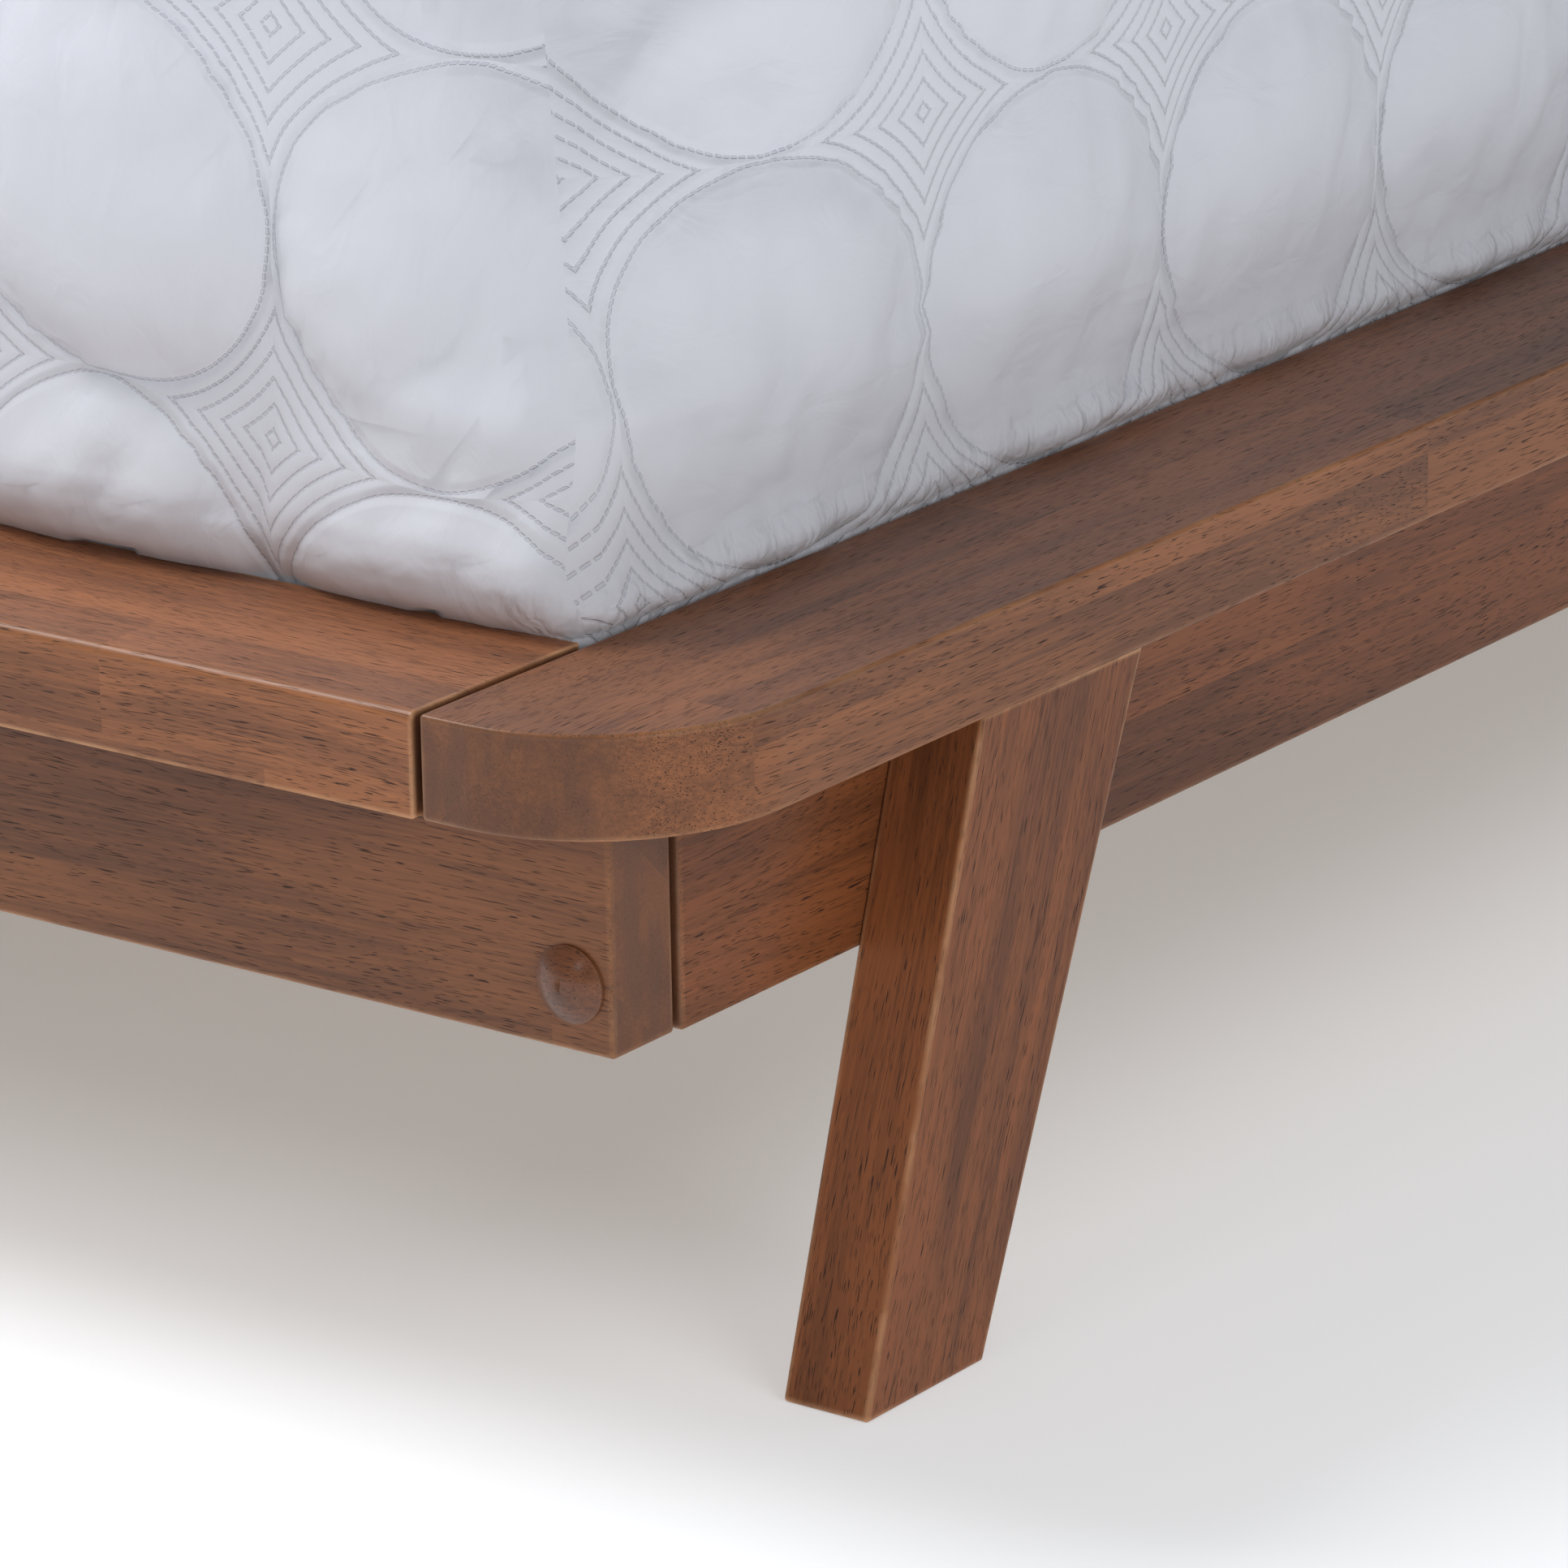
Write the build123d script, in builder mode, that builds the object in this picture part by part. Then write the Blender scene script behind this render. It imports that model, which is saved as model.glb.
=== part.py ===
"""Low platform bed in stained hardwood, with a mattress and a quilted coverlet.

Wide ledge boards frame a recess that keeps the mattress in place. Slanted legs stand outside the
side rails, flush with the ledge's outer face. A domed wooden cap hides each corner bolt. Thirteen
slats lie on cleats and a centre beam, and the beam stands on three posts with screw levellers.

Frame: X across the bed, Y from the foot to the head, Z up, the origin on the floor under the middle
of the whole bed. Millimetres. Left and right are as seen from the foot end.
"""

from build123d import *
import os

# ---------------------------------------------------------------- driving dimensions

MATTRESS_WIDTH = 1524
MATTRESS_LENGTH = 2032
MATTRESS_HEIGHT = 330
MATTRESS_CORNER = 60  # radius of its upright corners
MATTRESS_EDGE = 34  # radius of its top edge
TUCK_ROOM = 8  # from the mattress to the ledge on each side, where the coverlet is tucked in
COVERLET_THICKNESS = 6
COVERLET_CLEARANCE = 0.5  # from the mattress

LEDGE_TOP = 257
LEDGE_THICKNESS = 35
SIDE_LEDGE_WIDTH = 88
FOOT_LEDGE_WIDTH = 86
HEAD_LEDGE_WIDTH = 45
LEDGE_CORNER = 70  # radius of the rounded foot corners
LEDGE_GAP = 3  # the shadow gap between the side ledges and the end ledges

RAIL_HEIGHT = 78
SIDE_RAIL_THICKNESS = 36
SIDE_RAIL_INSET = 35  # from the ledge's outer face
END_RAIL_THICKNESS = 31.5
END_RAIL_INSET = 36.5  # of an end rail's two ends, from the ledge's outer face
FOOT_RAIL_SETBACK = 28.5
RAIL_GAP = 2  # between an end rail and the end of a side rail

LEG_THICKNESS = 34
LEG_TOP = (181, 273)  # where the leg meets the ledge, measured along the side from the bed's end
LEG_FOOT = (111, 177)  # where it stands on the floor

SLATS = 13
SLAT_WIDTH = 90
SLAT_THICKNESS = 18
SLAT_TOP_DROP = 2  # below the ledge's underside
SLAT_END_GAP = 3
CLEAT_WIDTH = 30
CLEAT_HEIGHT = 25
BEAM_WIDTH = 40
BEAM_HEIGHT = 55
HANGER_PLATE = 3
HANGER_WIDTH = 96
HANGER_HEIGHT = 54
HANGER_DEPTH = 38
HANGER_CHEEK_HEIGHT = 46
HANGER_SCREW_LENGTH = 16

POST_SIZE = 38
POST_BOTTOM = 27
POST_OFFSET = 760  # of the outer posts from the middle one

UPRIGHT_WIDTH = 60
UPRIGHT_THICKNESS = 32
UPRIGHT_SPREAD = 900  # from centre to centre
UPRIGHT_BOTTOM = 150
BOARDS = 3
BOARD_HEIGHT = 225
BOARD_THICKNESS = 25
BOARD_GAP = 8
BOARDS_BOTTOM = 290

SOFT_EDGE = 1.5  # rounding on the sawn edges
ROUNDED_EDGE = 3.5  # rounding on the foot ledge's top edge

BOLT_RADIUS = 4
BOLT_HOLE = 4.5
BOLT_HEAD_RADIUS = 8
BOLT_HEAD_HEIGHT = 5
INSERT_RADIUS = 6.5
INSERT_BORE = 4.05
INSERT_LENGTH = 20
INSERT_HOLE = 6.55
DOWEL_RADIUS = 5
DOWEL_HOLE = 5.05
SCREW_RADIUS = 2
SCREW_HOLE = 2.05
SCREW_HEAD_RADIUS = 4
SCREW_HEAD_HOLE = 4.1
SCREW_HEAD_HEIGHT = 2.5

# ---------------------------------------------------------------- places that follow from them

RECESS_WIDTH = MATTRESS_WIDTH + 2 * TUCK_ROOM
RECESS_LENGTH = MATTRESS_LENGTH + 2 * TUCK_ROOM
WIDTH = RECESS_WIDTH + 2 * SIDE_LEDGE_WIDTH
FRAME_LENGTH = FOOT_LEDGE_WIDTH + RECESS_LENGTH + HEAD_LEDGE_WIDTH
SIDE = WIDTH / 2  # the ledge's outer face
FOOT = -(FRAME_LENGTH + UPRIGHT_THICKNESS) / 2  # the foot ledge's outer face
HEAD = FOOT + FRAME_LENGTH  # the head ledge's back, where the headboard stands

RAIL_TOP = LEDGE_TOP - LEDGE_THICKNESS
RAIL_BOTTOM = RAIL_TOP - RAIL_HEIGHT
SLAT_TOP = RAIL_TOP - SLAT_TOP_DROP
SLAT_BOTTOM = SLAT_TOP - SLAT_THICKNESS
MATTRESS_TOP = SLAT_TOP + MATTRESS_HEIGHT

SIDE_RAIL_FACE = SIDE - SIDE_RAIL_INSET
SIDE_RAIL_INNER = SIDE_RAIL_FACE - SIDE_RAIL_THICKNESS
SIDE_RAIL_MIDDLE = SIDE_RAIL_FACE - SIDE_RAIL_THICKNESS / 2
FOOT_RAIL_FACE = FOOT + FOOT_RAIL_SETBACK
FOOT_RAIL_INNER = FOOT_RAIL_FACE + END_RAIL_THICKNESS
HEAD_RAIL_INNER = HEAD - END_RAIL_THICKNESS
SIDE_RAIL_SPAN = (FOOT_RAIL_INNER + RAIL_GAP, HEAD_RAIL_INNER - RAIL_GAP)

CLEAT_TOP = SLAT_BOTTOM
CLEAT_MIDDLE = CLEAT_TOP - CLEAT_HEIGHT / 2
CLEAT_INNER = SIDE_RAIL_INNER - CLEAT_WIDTH
CLEAT_SPAN = (FOOT_RAIL_INNER + 60, HEAD_RAIL_INNER - 60)

# the corner joint between an end rail and a side rail
CORNER_BOLT_Z = RAIL_BOTTOM + 22.5
CORNER_DOWEL_Z = RAIL_TOP - 22
COUNTERBORE_RADIUS = 9
COUNTERBORE_DEPTH = 14
NUT_FROM_END = 32  # of the barrel nut's axis from the side rail's end
NUT_RADIUS = 7
NUT_LENGTH = 26
BOLT_PAST_NUT = 12
DOWEL_IN_END_RAIL = 18
DOWEL_IN_SIDE_RAIL = 22

HANGER_SCREW_X = (-36, 36)
HANGER_SCREW_Z = (RAIL_BOTTOM + 14, RAIL_BOTTOM + 42)

LEG_BOLT_Z = RAIL_BOTTOM + 16
LEG_BOLT_SPREAD = 40
UPRIGHT_BOLTS_Z = (RAIL_BOTTOM + 16, RAIL_BOTTOM + 44)

SLAT_SCREW_LENGTH = 35
SLAT_SCREW_X = CLEAT_INNER + 6
LONG_SCREW_LENGTH = 50
LEDGE_SCREW_LENGTH = 60
LEDGE_SCREW_BASE = 40  # depth of the hole in the rail's underside that the screw's head sits in
LEDGE_SCREW_ACCESS = 6  # its radius
LEDGE_PILOT_DEPTH = LEDGE_SCREW_LENGTH - (RAIL_HEIGHT - LEDGE_SCREW_BASE) + 1
LEDGE_SCREW_FROM_END = 330
LEDGE_SCREW_REACH = 620  # of the outermost ones in the end rails, from the middle
BOARD_SCREWS_Z = (50, 130)  # above a headboard board's lower edge

NODES = []


def save(shape, name):
    """Labels one finished piece and writes it as its own STEP file."""
    shape.label = name
    NODES.append(name)
    export_step(shape, f"parts/{name}.step")


def block(x, y, z):
    """A box between two values on each axis, in the part being built."""
    with Locations(((x[0] + x[1]) / 2, (y[0] + y[1]) / 2, (z[0] + z[1]) / 2)):
        Box(x[1] - x[0], y[1] - y[0], z[1] - z[0])


def drill(place, direction, radius, depth):
    """A round blind hole from place, going depth along direction, in the part being built."""
    with BuildSketch(Plane(origin=place, z_dir=direction)) as circle:
        Circle(radius)
    extrude(circle.sketch, amount=depth, mode=Mode.SUBTRACT)


def screw_hole(place, direction, depth):
    """A countersunk hole for a wood screw, its head flush with the face at place."""
    drill(place, direction, SCREW_HOLE, depth)
    head_end = Vector(*place) + Vector(*direction) * SCREW_HEAD_HEIGHT
    with BuildSketch(Plane(origin=place, z_dir=direction)) as wide_end:
        Circle(SCREW_HEAD_HOLE)
    with BuildSketch(Plane(origin=head_end, z_dir=direction)) as narrow_end:
        Circle(SCREW_HOLE)
    loft([wide_end.sketch.face(), narrow_end.sketch.face()], mode=Mode.SUBTRACT)


def insert_hole(place, direction, beyond):
    """The seat of a threaded insert, with clearance for the bolt's tip beyond it."""
    drill(place, direction, INSERT_HOLE, INSERT_LENGTH)
    drill(place, direction, BOLT_HOLE, INSERT_LENGTH + beyond)


def spread(first, last, count):
    """Evenly spaced values from first to last."""
    return [first + (last - first) * i / (count - 1) for i in range(count)]


def wood_screw(length):
    """A countersunk wood screw along -Z, its head's face at the origin."""
    tip = 4
    with BuildPart() as screw:
        with BuildSketch(Plane.XZ):
            with BuildLine():
                Polyline(
                    (0, 0),
                    (SCREW_HEAD_RADIUS, 0),
                    (SCREW_RADIUS, -SCREW_HEAD_HEIGHT),
                    (SCREW_RADIUS, -length + tip),
                    (0, -length),
                    close=True,
                )
            make_face()
        revolve(axis=Axis.Z)
        with BuildSketch():
            Rectangle(0.8, 4.4)
            Rectangle(4.4, 0.8)
        extrude(amount=-1.2, mode=Mode.SUBTRACT)
    return screw.part


def bolt(length):
    """A furniture bolt along -Z: the shank starts at the origin and the low domed head is above it."""
    with BuildPart() as made:
        Cylinder(BOLT_RADIUS, length, align=(Align.CENTER, Align.CENTER, Align.MAX))
        chamfer(made.edges().sort_by(Axis.Z)[0], 0.8)
        Cylinder(BOLT_HEAD_RADIUS, BOLT_HEAD_HEIGHT, align=(Align.CENTER, Align.CENTER, Align.MIN))
        fillet(made.edges().sort_by(Axis.Z)[-1], 2)
        with BuildSketch(Plane.XY.offset(BOLT_HEAD_HEIGHT)):
            RegularPolygon(2.9, 6)
        extrude(amount=-3, mode=Mode.SUBTRACT)
    return made.part


def aimed(place, direction):
    """A location at place whose -Z axis points along direction."""
    return Plane(origin=place, z_dir=(-direction[0], -direction[1], -direction[2])).location


def group(piece, places, name):
    """One node that holds a copy of piece at each place."""
    with BuildPart() as made:
        with Locations(*places):
            add(piece)
    save(made.part, name)


os.makedirs("parts", exist_ok=True)

# ---------------------------------------------------------------- fastener places

LEDGE_SCREW_Y = spread(FOOT + LEDGE_SCREW_FROM_END, HEAD - LEDGE_SCREW_FROM_END, 5)  # in the side rails
LEDGE_SCREW_X = spread(-LEDGE_SCREW_REACH, LEDGE_SCREW_REACH, 5)  # in the end rails
CLEAT_SCREW_Y = spread(CLEAT_SPAN[0] + 40, CLEAT_SPAN[1] - 40, 8)
SLAT_Y = spread(
    FOOT_RAIL_INNER + 6 + SLAT_WIDTH / 2, HEAD_RAIL_INNER - 6 - SLAT_WIDTH / 2, SLATS
)
POST_Y = [(FOOT_RAIL_INNER + HEAD_RAIL_INNER) / 2 + POST_OFFSET * step for step in (-1, 0, 1)]
BOARD_Z = [BOARDS_BOTTOM + (BOARD_HEIGHT + BOARD_GAP) * row for row in range(BOARDS)]

# ---------------------------------------------------------------- ledge boards

with BuildPart() as side_ledge:
    with BuildSketch(Plane.XY.offset(RAIL_TOP)) as side_ledge_outline:
        with Locations((SIDE - SIDE_LEDGE_WIDTH / 2, FOOT + FRAME_LENGTH / 2)):
            Rectangle(SIDE_LEDGE_WIDTH, FRAME_LENGTH)
        foot_corner = side_ledge_outline.vertices().group_by(Axis.Y)[0].sort_by(Axis.X)[-1]
        fillet(foot_corner, LEDGE_CORNER)
    extrude(amount=LEDGE_THICKNESS)
    fillet(side_ledge.edges(), SOFT_EDGE)
    for y in LEDGE_SCREW_Y:
        drill((SIDE_RAIL_MIDDLE, y, RAIL_TOP), (0, 0, 1), SCREW_HOLE, LEDGE_PILOT_DEPTH)
save(side_ledge.part, "side_ledge_right")
save(mirror(side_ledge.part, about=Plane.YZ), "side_ledge_left")


def end_ledge(y, rail_middle, rounded_edge_at):
    """A ledge board across one end of the bed, between the side ledges."""
    half = RECESS_WIDTH / 2 - LEDGE_GAP
    with BuildPart() as board:
        block((-half, half), y, (RAIL_TOP, LEDGE_TOP))
        top_edges = board.edges().filter_by(Axis.X).group_by(Axis.Z)[-1].sort_by(Axis.Y)
        fillet(top_edges[rounded_edge_at], ROUNDED_EDGE)
        ends = board.faces().filter_by(GeomType.PLANE).group_by(Axis.X)
        fillet(ends[0].edges() + ends[-1].edges(), 1)
        for x in LEDGE_SCREW_X:
            drill((x, rail_middle, RAIL_TOP), (0, 0, 1), SCREW_HOLE, LEDGE_PILOT_DEPTH)
    return board.part


FOOT_RAIL_MIDDLE = FOOT_RAIL_FACE + END_RAIL_THICKNESS / 2
HEAD_RAIL_MIDDLE = HEAD_RAIL_INNER + END_RAIL_THICKNESS / 2
save(end_ledge((FOOT, FOOT + FOOT_LEDGE_WIDTH), FOOT_RAIL_MIDDLE, 0), "foot_ledge")
save(end_ledge((HEAD - HEAD_LEDGE_WIDTH, HEAD), HEAD_RAIL_MIDDLE, -1), "head_ledge")

# ---------------------------------------------------------------- rails


def ledge_screw_hole(x, y):
    """The hole up through a rail for the screw that holds the ledge down onto it."""
    drill((x, y, RAIL_BOTTOM), (0, 0, 1), LEDGE_SCREW_ACCESS, LEDGE_SCREW_BASE)
    screw_hole((x, y, RAIL_BOTTOM + LEDGE_SCREW_BASE), (0, 0, 1), RAIL_HEIGHT - LEDGE_SCREW_BASE + 1)


LEG_MIDDLES = []
for leg_end, leg_way in ((FOOT, 1), (HEAD, -1)):
    rise = LEG_BOLT_Z / RAIL_TOP
    front = LEG_FOOT[0] + (LEG_TOP[0] - LEG_FOOT[0]) * rise
    back = LEG_FOOT[1] + (LEG_TOP[1] - LEG_FOOT[1]) * rise
    LEG_MIDDLES.append(leg_end + leg_way * (front + back) / 2)
LEG_BOLT_Y = [y + side * LEG_BOLT_SPREAD / 2 for y in LEG_MIDDLES for side in (-1, 1)]

with BuildPart() as side_rail:
    block((SIDE_RAIL_INNER, SIDE_RAIL_FACE), SIDE_RAIL_SPAN, (RAIL_BOTTOM, RAIL_TOP))
    fillet(side_rail.edges(), SOFT_EDGE)
    for end, way in ((SIDE_RAIL_SPAN[0], 1), (SIDE_RAIL_SPAN[1], -1)):
        bolt_start = (SIDE_RAIL_MIDDLE, end, CORNER_BOLT_Z)
        drill(bolt_start, (0, way, 0), BOLT_HOLE, NUT_FROM_END + BOLT_PAST_NUT + 4)
        nut_start = (SIDE_RAIL_INNER, end + way * NUT_FROM_END, CORNER_BOLT_Z)
        drill(nut_start, (1, 0, 0), NUT_RADIUS + 0.1, SIDE_RAIL_THICKNESS / 2 + NUT_LENGTH / 2 + 0.2)
        drill((SIDE_RAIL_MIDDLE, end, CORNER_DOWEL_Z), (0, way, 0), DOWEL_HOLE, DOWEL_IN_SIDE_RAIL)
    for y in LEG_BOLT_Y:
        drill((SIDE_RAIL_INNER, y, LEG_BOLT_Z), (1, 0, 0), BOLT_HOLE, SIDE_RAIL_THICKNESS)
    for y in LEDGE_SCREW_Y:
        ledge_screw_hole(SIDE_RAIL_MIDDLE, y)
    for y in CLEAT_SCREW_Y:
        drill((SIDE_RAIL_INNER, y, CLEAT_MIDDLE), (1, 0, 0), SCREW_HOLE, 21)
save(side_rail.part, "side_rail_right")
save(mirror(side_rail.part, about=Plane.YZ), "side_rail_left")


def end_rail(y, outward):
    """A rail across one end; outward is -1 where its outer face looks along -Y, at the foot."""
    face = y[0] if outward < 0 else y[1]
    inner = y[1] if outward < 0 else y[0]
    half = SIDE - END_RAIL_INSET
    with BuildPart() as rail:
        block((-half, half), y, (RAIL_BOTTOM, RAIL_TOP))
        fillet(rail.edges(), SOFT_EDGE)
        for x in (-SIDE_RAIL_MIDDLE, SIDE_RAIL_MIDDLE):
            drill((x, face, CORNER_BOLT_Z), (0, -outward, 0), COUNTERBORE_RADIUS, COUNTERBORE_DEPTH)
            drill((x, face, CORNER_BOLT_Z), (0, -outward, 0), BOLT_HOLE, END_RAIL_THICKNESS)
            drill((x, inner, CORNER_DOWEL_Z), (0, outward, 0), DOWEL_HOLE, DOWEL_IN_END_RAIL)
        for x in LEDGE_SCREW_X:
            ledge_screw_hole(x, (y[0] + y[1]) / 2)
        for x in HANGER_SCREW_X:
            for z in HANGER_SCREW_Z:
                drill((x, inner, z), (0, outward, 0), SCREW_HOLE, 14)
        if outward > 0:
            for x in (-UPRIGHT_SPREAD / 2, UPRIGHT_SPREAD / 2):
                for z in UPRIGHT_BOLTS_Z:
                    drill((x, inner, z), (0, 1, 0), BOLT_HOLE, END_RAIL_THICKNESS)
    return rail.part


save(end_rail((FOOT_RAIL_FACE, FOOT_RAIL_INNER), -1), "foot_rail")
save(end_rail((HEAD_RAIL_INNER, HEAD), 1), "head_rail")

# ---------------------------------------------------------------- legs


def leg(end, way):
    """A slanted leg on the right side; way is 1 at the foot and -1 at the head."""
    outline = [
        (end + way * LEG_TOP[0], RAIL_TOP),
        (end + way * LEG_TOP[1], RAIL_TOP),
        (end + way * LEG_FOOT[1], 0),
        (end + way * LEG_FOOT[0], 0),
    ]
    with BuildPart() as made:
        with BuildSketch(Plane.YZ.offset(SIDE_RAIL_FACE)):
            with BuildLine():
                Polyline(*outline, close=True)
            make_face()
        extrude(amount=LEG_THICKNESS)
        top_edges = made.faces().sort_by(Axis.Z)[-1].edges()
        fillet(made.edges() - top_edges, SOFT_EDGE)
        for y in [y for y in LEG_BOLT_Y if abs(y - end) < LEG_TOP[1]]:
            insert_hole((SIDE_RAIL_FACE, y, LEG_BOLT_Z), (1, 0, 0), 6)
    return made.part


for end_name, end, way in (("foot", FOOT, 1), ("head", HEAD, -1)):
    save(leg(end, way), f"leg_{end_name}_right")
    save(mirror(leg(end, way), about=Plane.YZ), f"leg_{end_name}_left")

# ---------------------------------------------------------------- cleats and slats

with BuildPart() as cleat:
    block((CLEAT_INNER, SIDE_RAIL_INNER), CLEAT_SPAN, (CLEAT_TOP - CLEAT_HEIGHT, CLEAT_TOP))
    fillet(cleat.edges(), 1)
    for y in CLEAT_SCREW_Y:
        screw_hole((CLEAT_INNER, y, CLEAT_MIDDLE), (1, 0, 0), CLEAT_WIDTH)
    for y in SLAT_Y:
        if CLEAT_SPAN[0] < y < CLEAT_SPAN[1]:
            drill((SLAT_SCREW_X, y, CLEAT_TOP), (0, 0, -1), SCREW_HOLE, 18)
save(cleat.part, "slat_cleat_right")
save(mirror(cleat.part, about=Plane.YZ), "slat_cleat_left")

SLAT_HALF = SIDE_RAIL_INNER - SLAT_END_GAP
for number, slat_y in enumerate(SLAT_Y, start=1):
    with BuildPart() as slat:
        side_to_side = (slat_y - SLAT_WIDTH / 2, slat_y + SLAT_WIDTH / 2)
        block((-SLAT_HALF, SLAT_HALF), side_to_side, (SLAT_BOTTOM, SLAT_TOP))
        fillet(slat.edges().filter_by(Axis.X), 3)
        for x in (-SLAT_SCREW_X, 0, SLAT_SCREW_X):
            screw_hole((x, slat_y, SLAT_TOP), (0, 0, -1), SLAT_THICKNESS)
    save(slat.part, f"slat_{number:02d}")

# ---------------------------------------------------------------- centre beam, hangers and posts

BEAM_BOTTOM = SLAT_BOTTOM - BEAM_HEIGHT
BEAM_SPAN = (FOOT_RAIL_INNER + HANGER_PLATE, HEAD_RAIL_INNER - HANGER_PLATE)
POST_BOLT_LENGTH = 80
with BuildPart() as beam:
    block((-BEAM_WIDTH / 2, BEAM_WIDTH / 2), BEAM_SPAN, (BEAM_BOTTOM, SLAT_BOTTOM))
    fillet(beam.edges().filter_by(Axis.Y), 1)
    for y in POST_Y:
        drill((0, y, SLAT_BOTTOM), (0, 0, -1), BOLT_HEAD_RADIUS + 1, BOLT_HEAD_HEIGHT + 1)
        drill((0, y, SLAT_BOTTOM), (0, 0, -1), BOLT_HOLE, BEAM_HEIGHT)
    for y in SLAT_Y:
        if min(abs(y - post) for post in POST_Y) > BOLT_HEAD_RADIUS + SCREW_HEAD_RADIUS:
            drill((0, y, SLAT_BOTTOM), (0, 0, -1), SCREW_HOLE, 18)
save(beam.part, "centre_beam")


def hanger(inner, inward):
    """A steel U-shaped hanger that carries one end of the centre beam."""
    pocket = BEAM_WIDTH / 2
    back = sorted((inner, inner + inward * HANGER_PLATE))
    reach = sorted((inner, inner + inward * HANGER_DEPTH))
    with BuildPart() as made:
        block((-HANGER_WIDTH / 2, HANGER_WIDTH / 2), back, (RAIL_BOTTOM, RAIL_BOTTOM + HANGER_HEIGHT))
        fillet(made.edges().filter_by(Axis.Y), 6)
        block((-pocket - HANGER_PLATE, pocket + HANGER_PLATE), reach, (RAIL_BOTTOM, BEAM_BOTTOM))
        for side in (-1, 1):
            cheek = sorted((side * pocket, side * (pocket + HANGER_PLATE)))
            block(cheek, reach, (RAIL_BOTTOM, RAIL_BOTTOM + HANGER_CHEEK_HEIGHT))
        for x in HANGER_SCREW_X:
            for z in HANGER_SCREW_Z:
                screw_hole((x, inner + inward * HANGER_PLATE, z), (0, -inward, 0), HANGER_PLATE)
    return made.part


save(hanger(FOOT_RAIL_INNER, 1), "beam_hanger_foot")
save(hanger(HEAD_RAIL_INNER, -1), "beam_hanger_head")

POST_NAMES = ("foot", "middle", "head")
PAD_HEIGHT = 8
COLLAR_HEIGHT = 5
STEM_TOP = POST_BOTTOM + INSERT_LENGTH + 16
STEM_ROOM = 80  # height that the hole above the leveller's insert reaches
for post_name, y in zip(POST_NAMES, POST_Y):
    with BuildPart() as post:
        across = POST_SIZE / 2
        block((-across, across), (y - across, y + across), (POST_BOTTOM, BEAM_BOTTOM))
        fillet(post.edges().filter_by(Axis.Z), 3)
        insert_hole((0, y, BEAM_BOTTOM), (0, 0, -1), 15)
        insert_hole((0, y, POST_BOTTOM), (0, 0, 1), STEM_ROOM - POST_BOTTOM - INSERT_LENGTH)
    save(post.part, f"centre_post_{post_name}")

    with BuildPart() as stem:
        with BuildSketch(Plane(origin=(0, y, PAD_HEIGHT))):
            RegularPolygon(8, 6)
        extrude(amount=COLLAR_HEIGHT)
        with BuildSketch(Plane(origin=(0, y, PAD_HEIGHT))):
            Circle(BOLT_RADIUS)
        extrude(amount=STEM_TOP - PAD_HEIGHT)
        chamfer(stem.edges().group_by(Axis.Z)[-1], 0.8)
        with BuildSketch(Plane(origin=(0, y, PAD_HEIGHT))):
            Circle(5)
        extrude(amount=-4)
    save(stem.part, f"leveller_stem_{post_name}")

    with BuildPart() as pad:
        with BuildSketch(Plane.XZ.offset(-y)):
            with BuildLine():
                Polyline((0, 0), (19, 0), (20, 1.2), (20, 4), (12, PAD_HEIGHT), (0, PAD_HEIGHT), close=True)
            make_face()
        revolve(axis=Axis((0, y, 0), (0, 0, 1)))
        drill((0, y, PAD_HEIGHT), (0, 0, -1), 5.05, 4.1)
    save(pad.part, f"leveller_pad_{post_name}")

# ---------------------------------------------------------------- headboard

for side_name, side in (("left", -1), ("right", 1)):
    with BuildPart() as upright:
        x = side * UPRIGHT_SPREAD / 2
        top = BOARD_Z[-1] + BOARD_HEIGHT - 60
        block(
            (x - UPRIGHT_WIDTH / 2, x + UPRIGHT_WIDTH / 2),
            (HEAD, HEAD + UPRIGHT_THICKNESS),
            (UPRIGHT_BOTTOM, top),
        )
        fillet(upright.edges(), SOFT_EDGE)
        for z in UPRIGHT_BOLTS_Z:
            insert_hole((x, HEAD, z), (0, 1, 0), 6)
        for board_z in BOARD_Z:
            for z in [board_z + up for up in BOARD_SCREWS_Z]:
                screw_hole((x, HEAD + UPRIGHT_THICKNESS, z), (0, -1, 0), UPRIGHT_THICKNESS)
    save(upright.part, f"headboard_upright_{side_name}")

for row, (board_name, board_z) in enumerate(zip(("lower", "middle", "upper"), BOARD_Z)):
    with BuildPart() as board:
        with BuildSketch(Plane.XZ.offset(-HEAD)) as board_outline:
            with Locations((0, board_z + BOARD_HEIGHT / 2)):
                Rectangle(WIDTH, BOARD_HEIGHT)
            if row == BOARDS - 1:
                fillet(board_outline.vertices().group_by(Axis.Z)[-1], LEDGE_CORNER)
        extrude(amount=BOARD_THICKNESS)
        fillet(board.edges(), SOFT_EDGE)
        for x in (-UPRIGHT_SPREAD / 2, UPRIGHT_SPREAD / 2):
            for z in [board_z + up for up in BOARD_SCREWS_Z]:
                drill((x, HEAD, z), (0, -1, 0), SCREW_HOLE, LONG_SCREW_LENGTH - UPRIGHT_THICKNESS + 1)
    save(board.part, f"headboard_board_{board_name}")

# ---------------------------------------------------------------- bolts, nuts, caps and dowels

CORNERS = [
    (x, face, inner, way)
    for x in (-SIDE_RAIL_MIDDLE, SIDE_RAIL_MIDDLE)
    for face, inner, way in (
        (FOOT_RAIL_FACE, FOOT_RAIL_INNER, 1),
        (HEAD, HEAD_RAIL_INNER, -1),
    )
]

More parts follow.
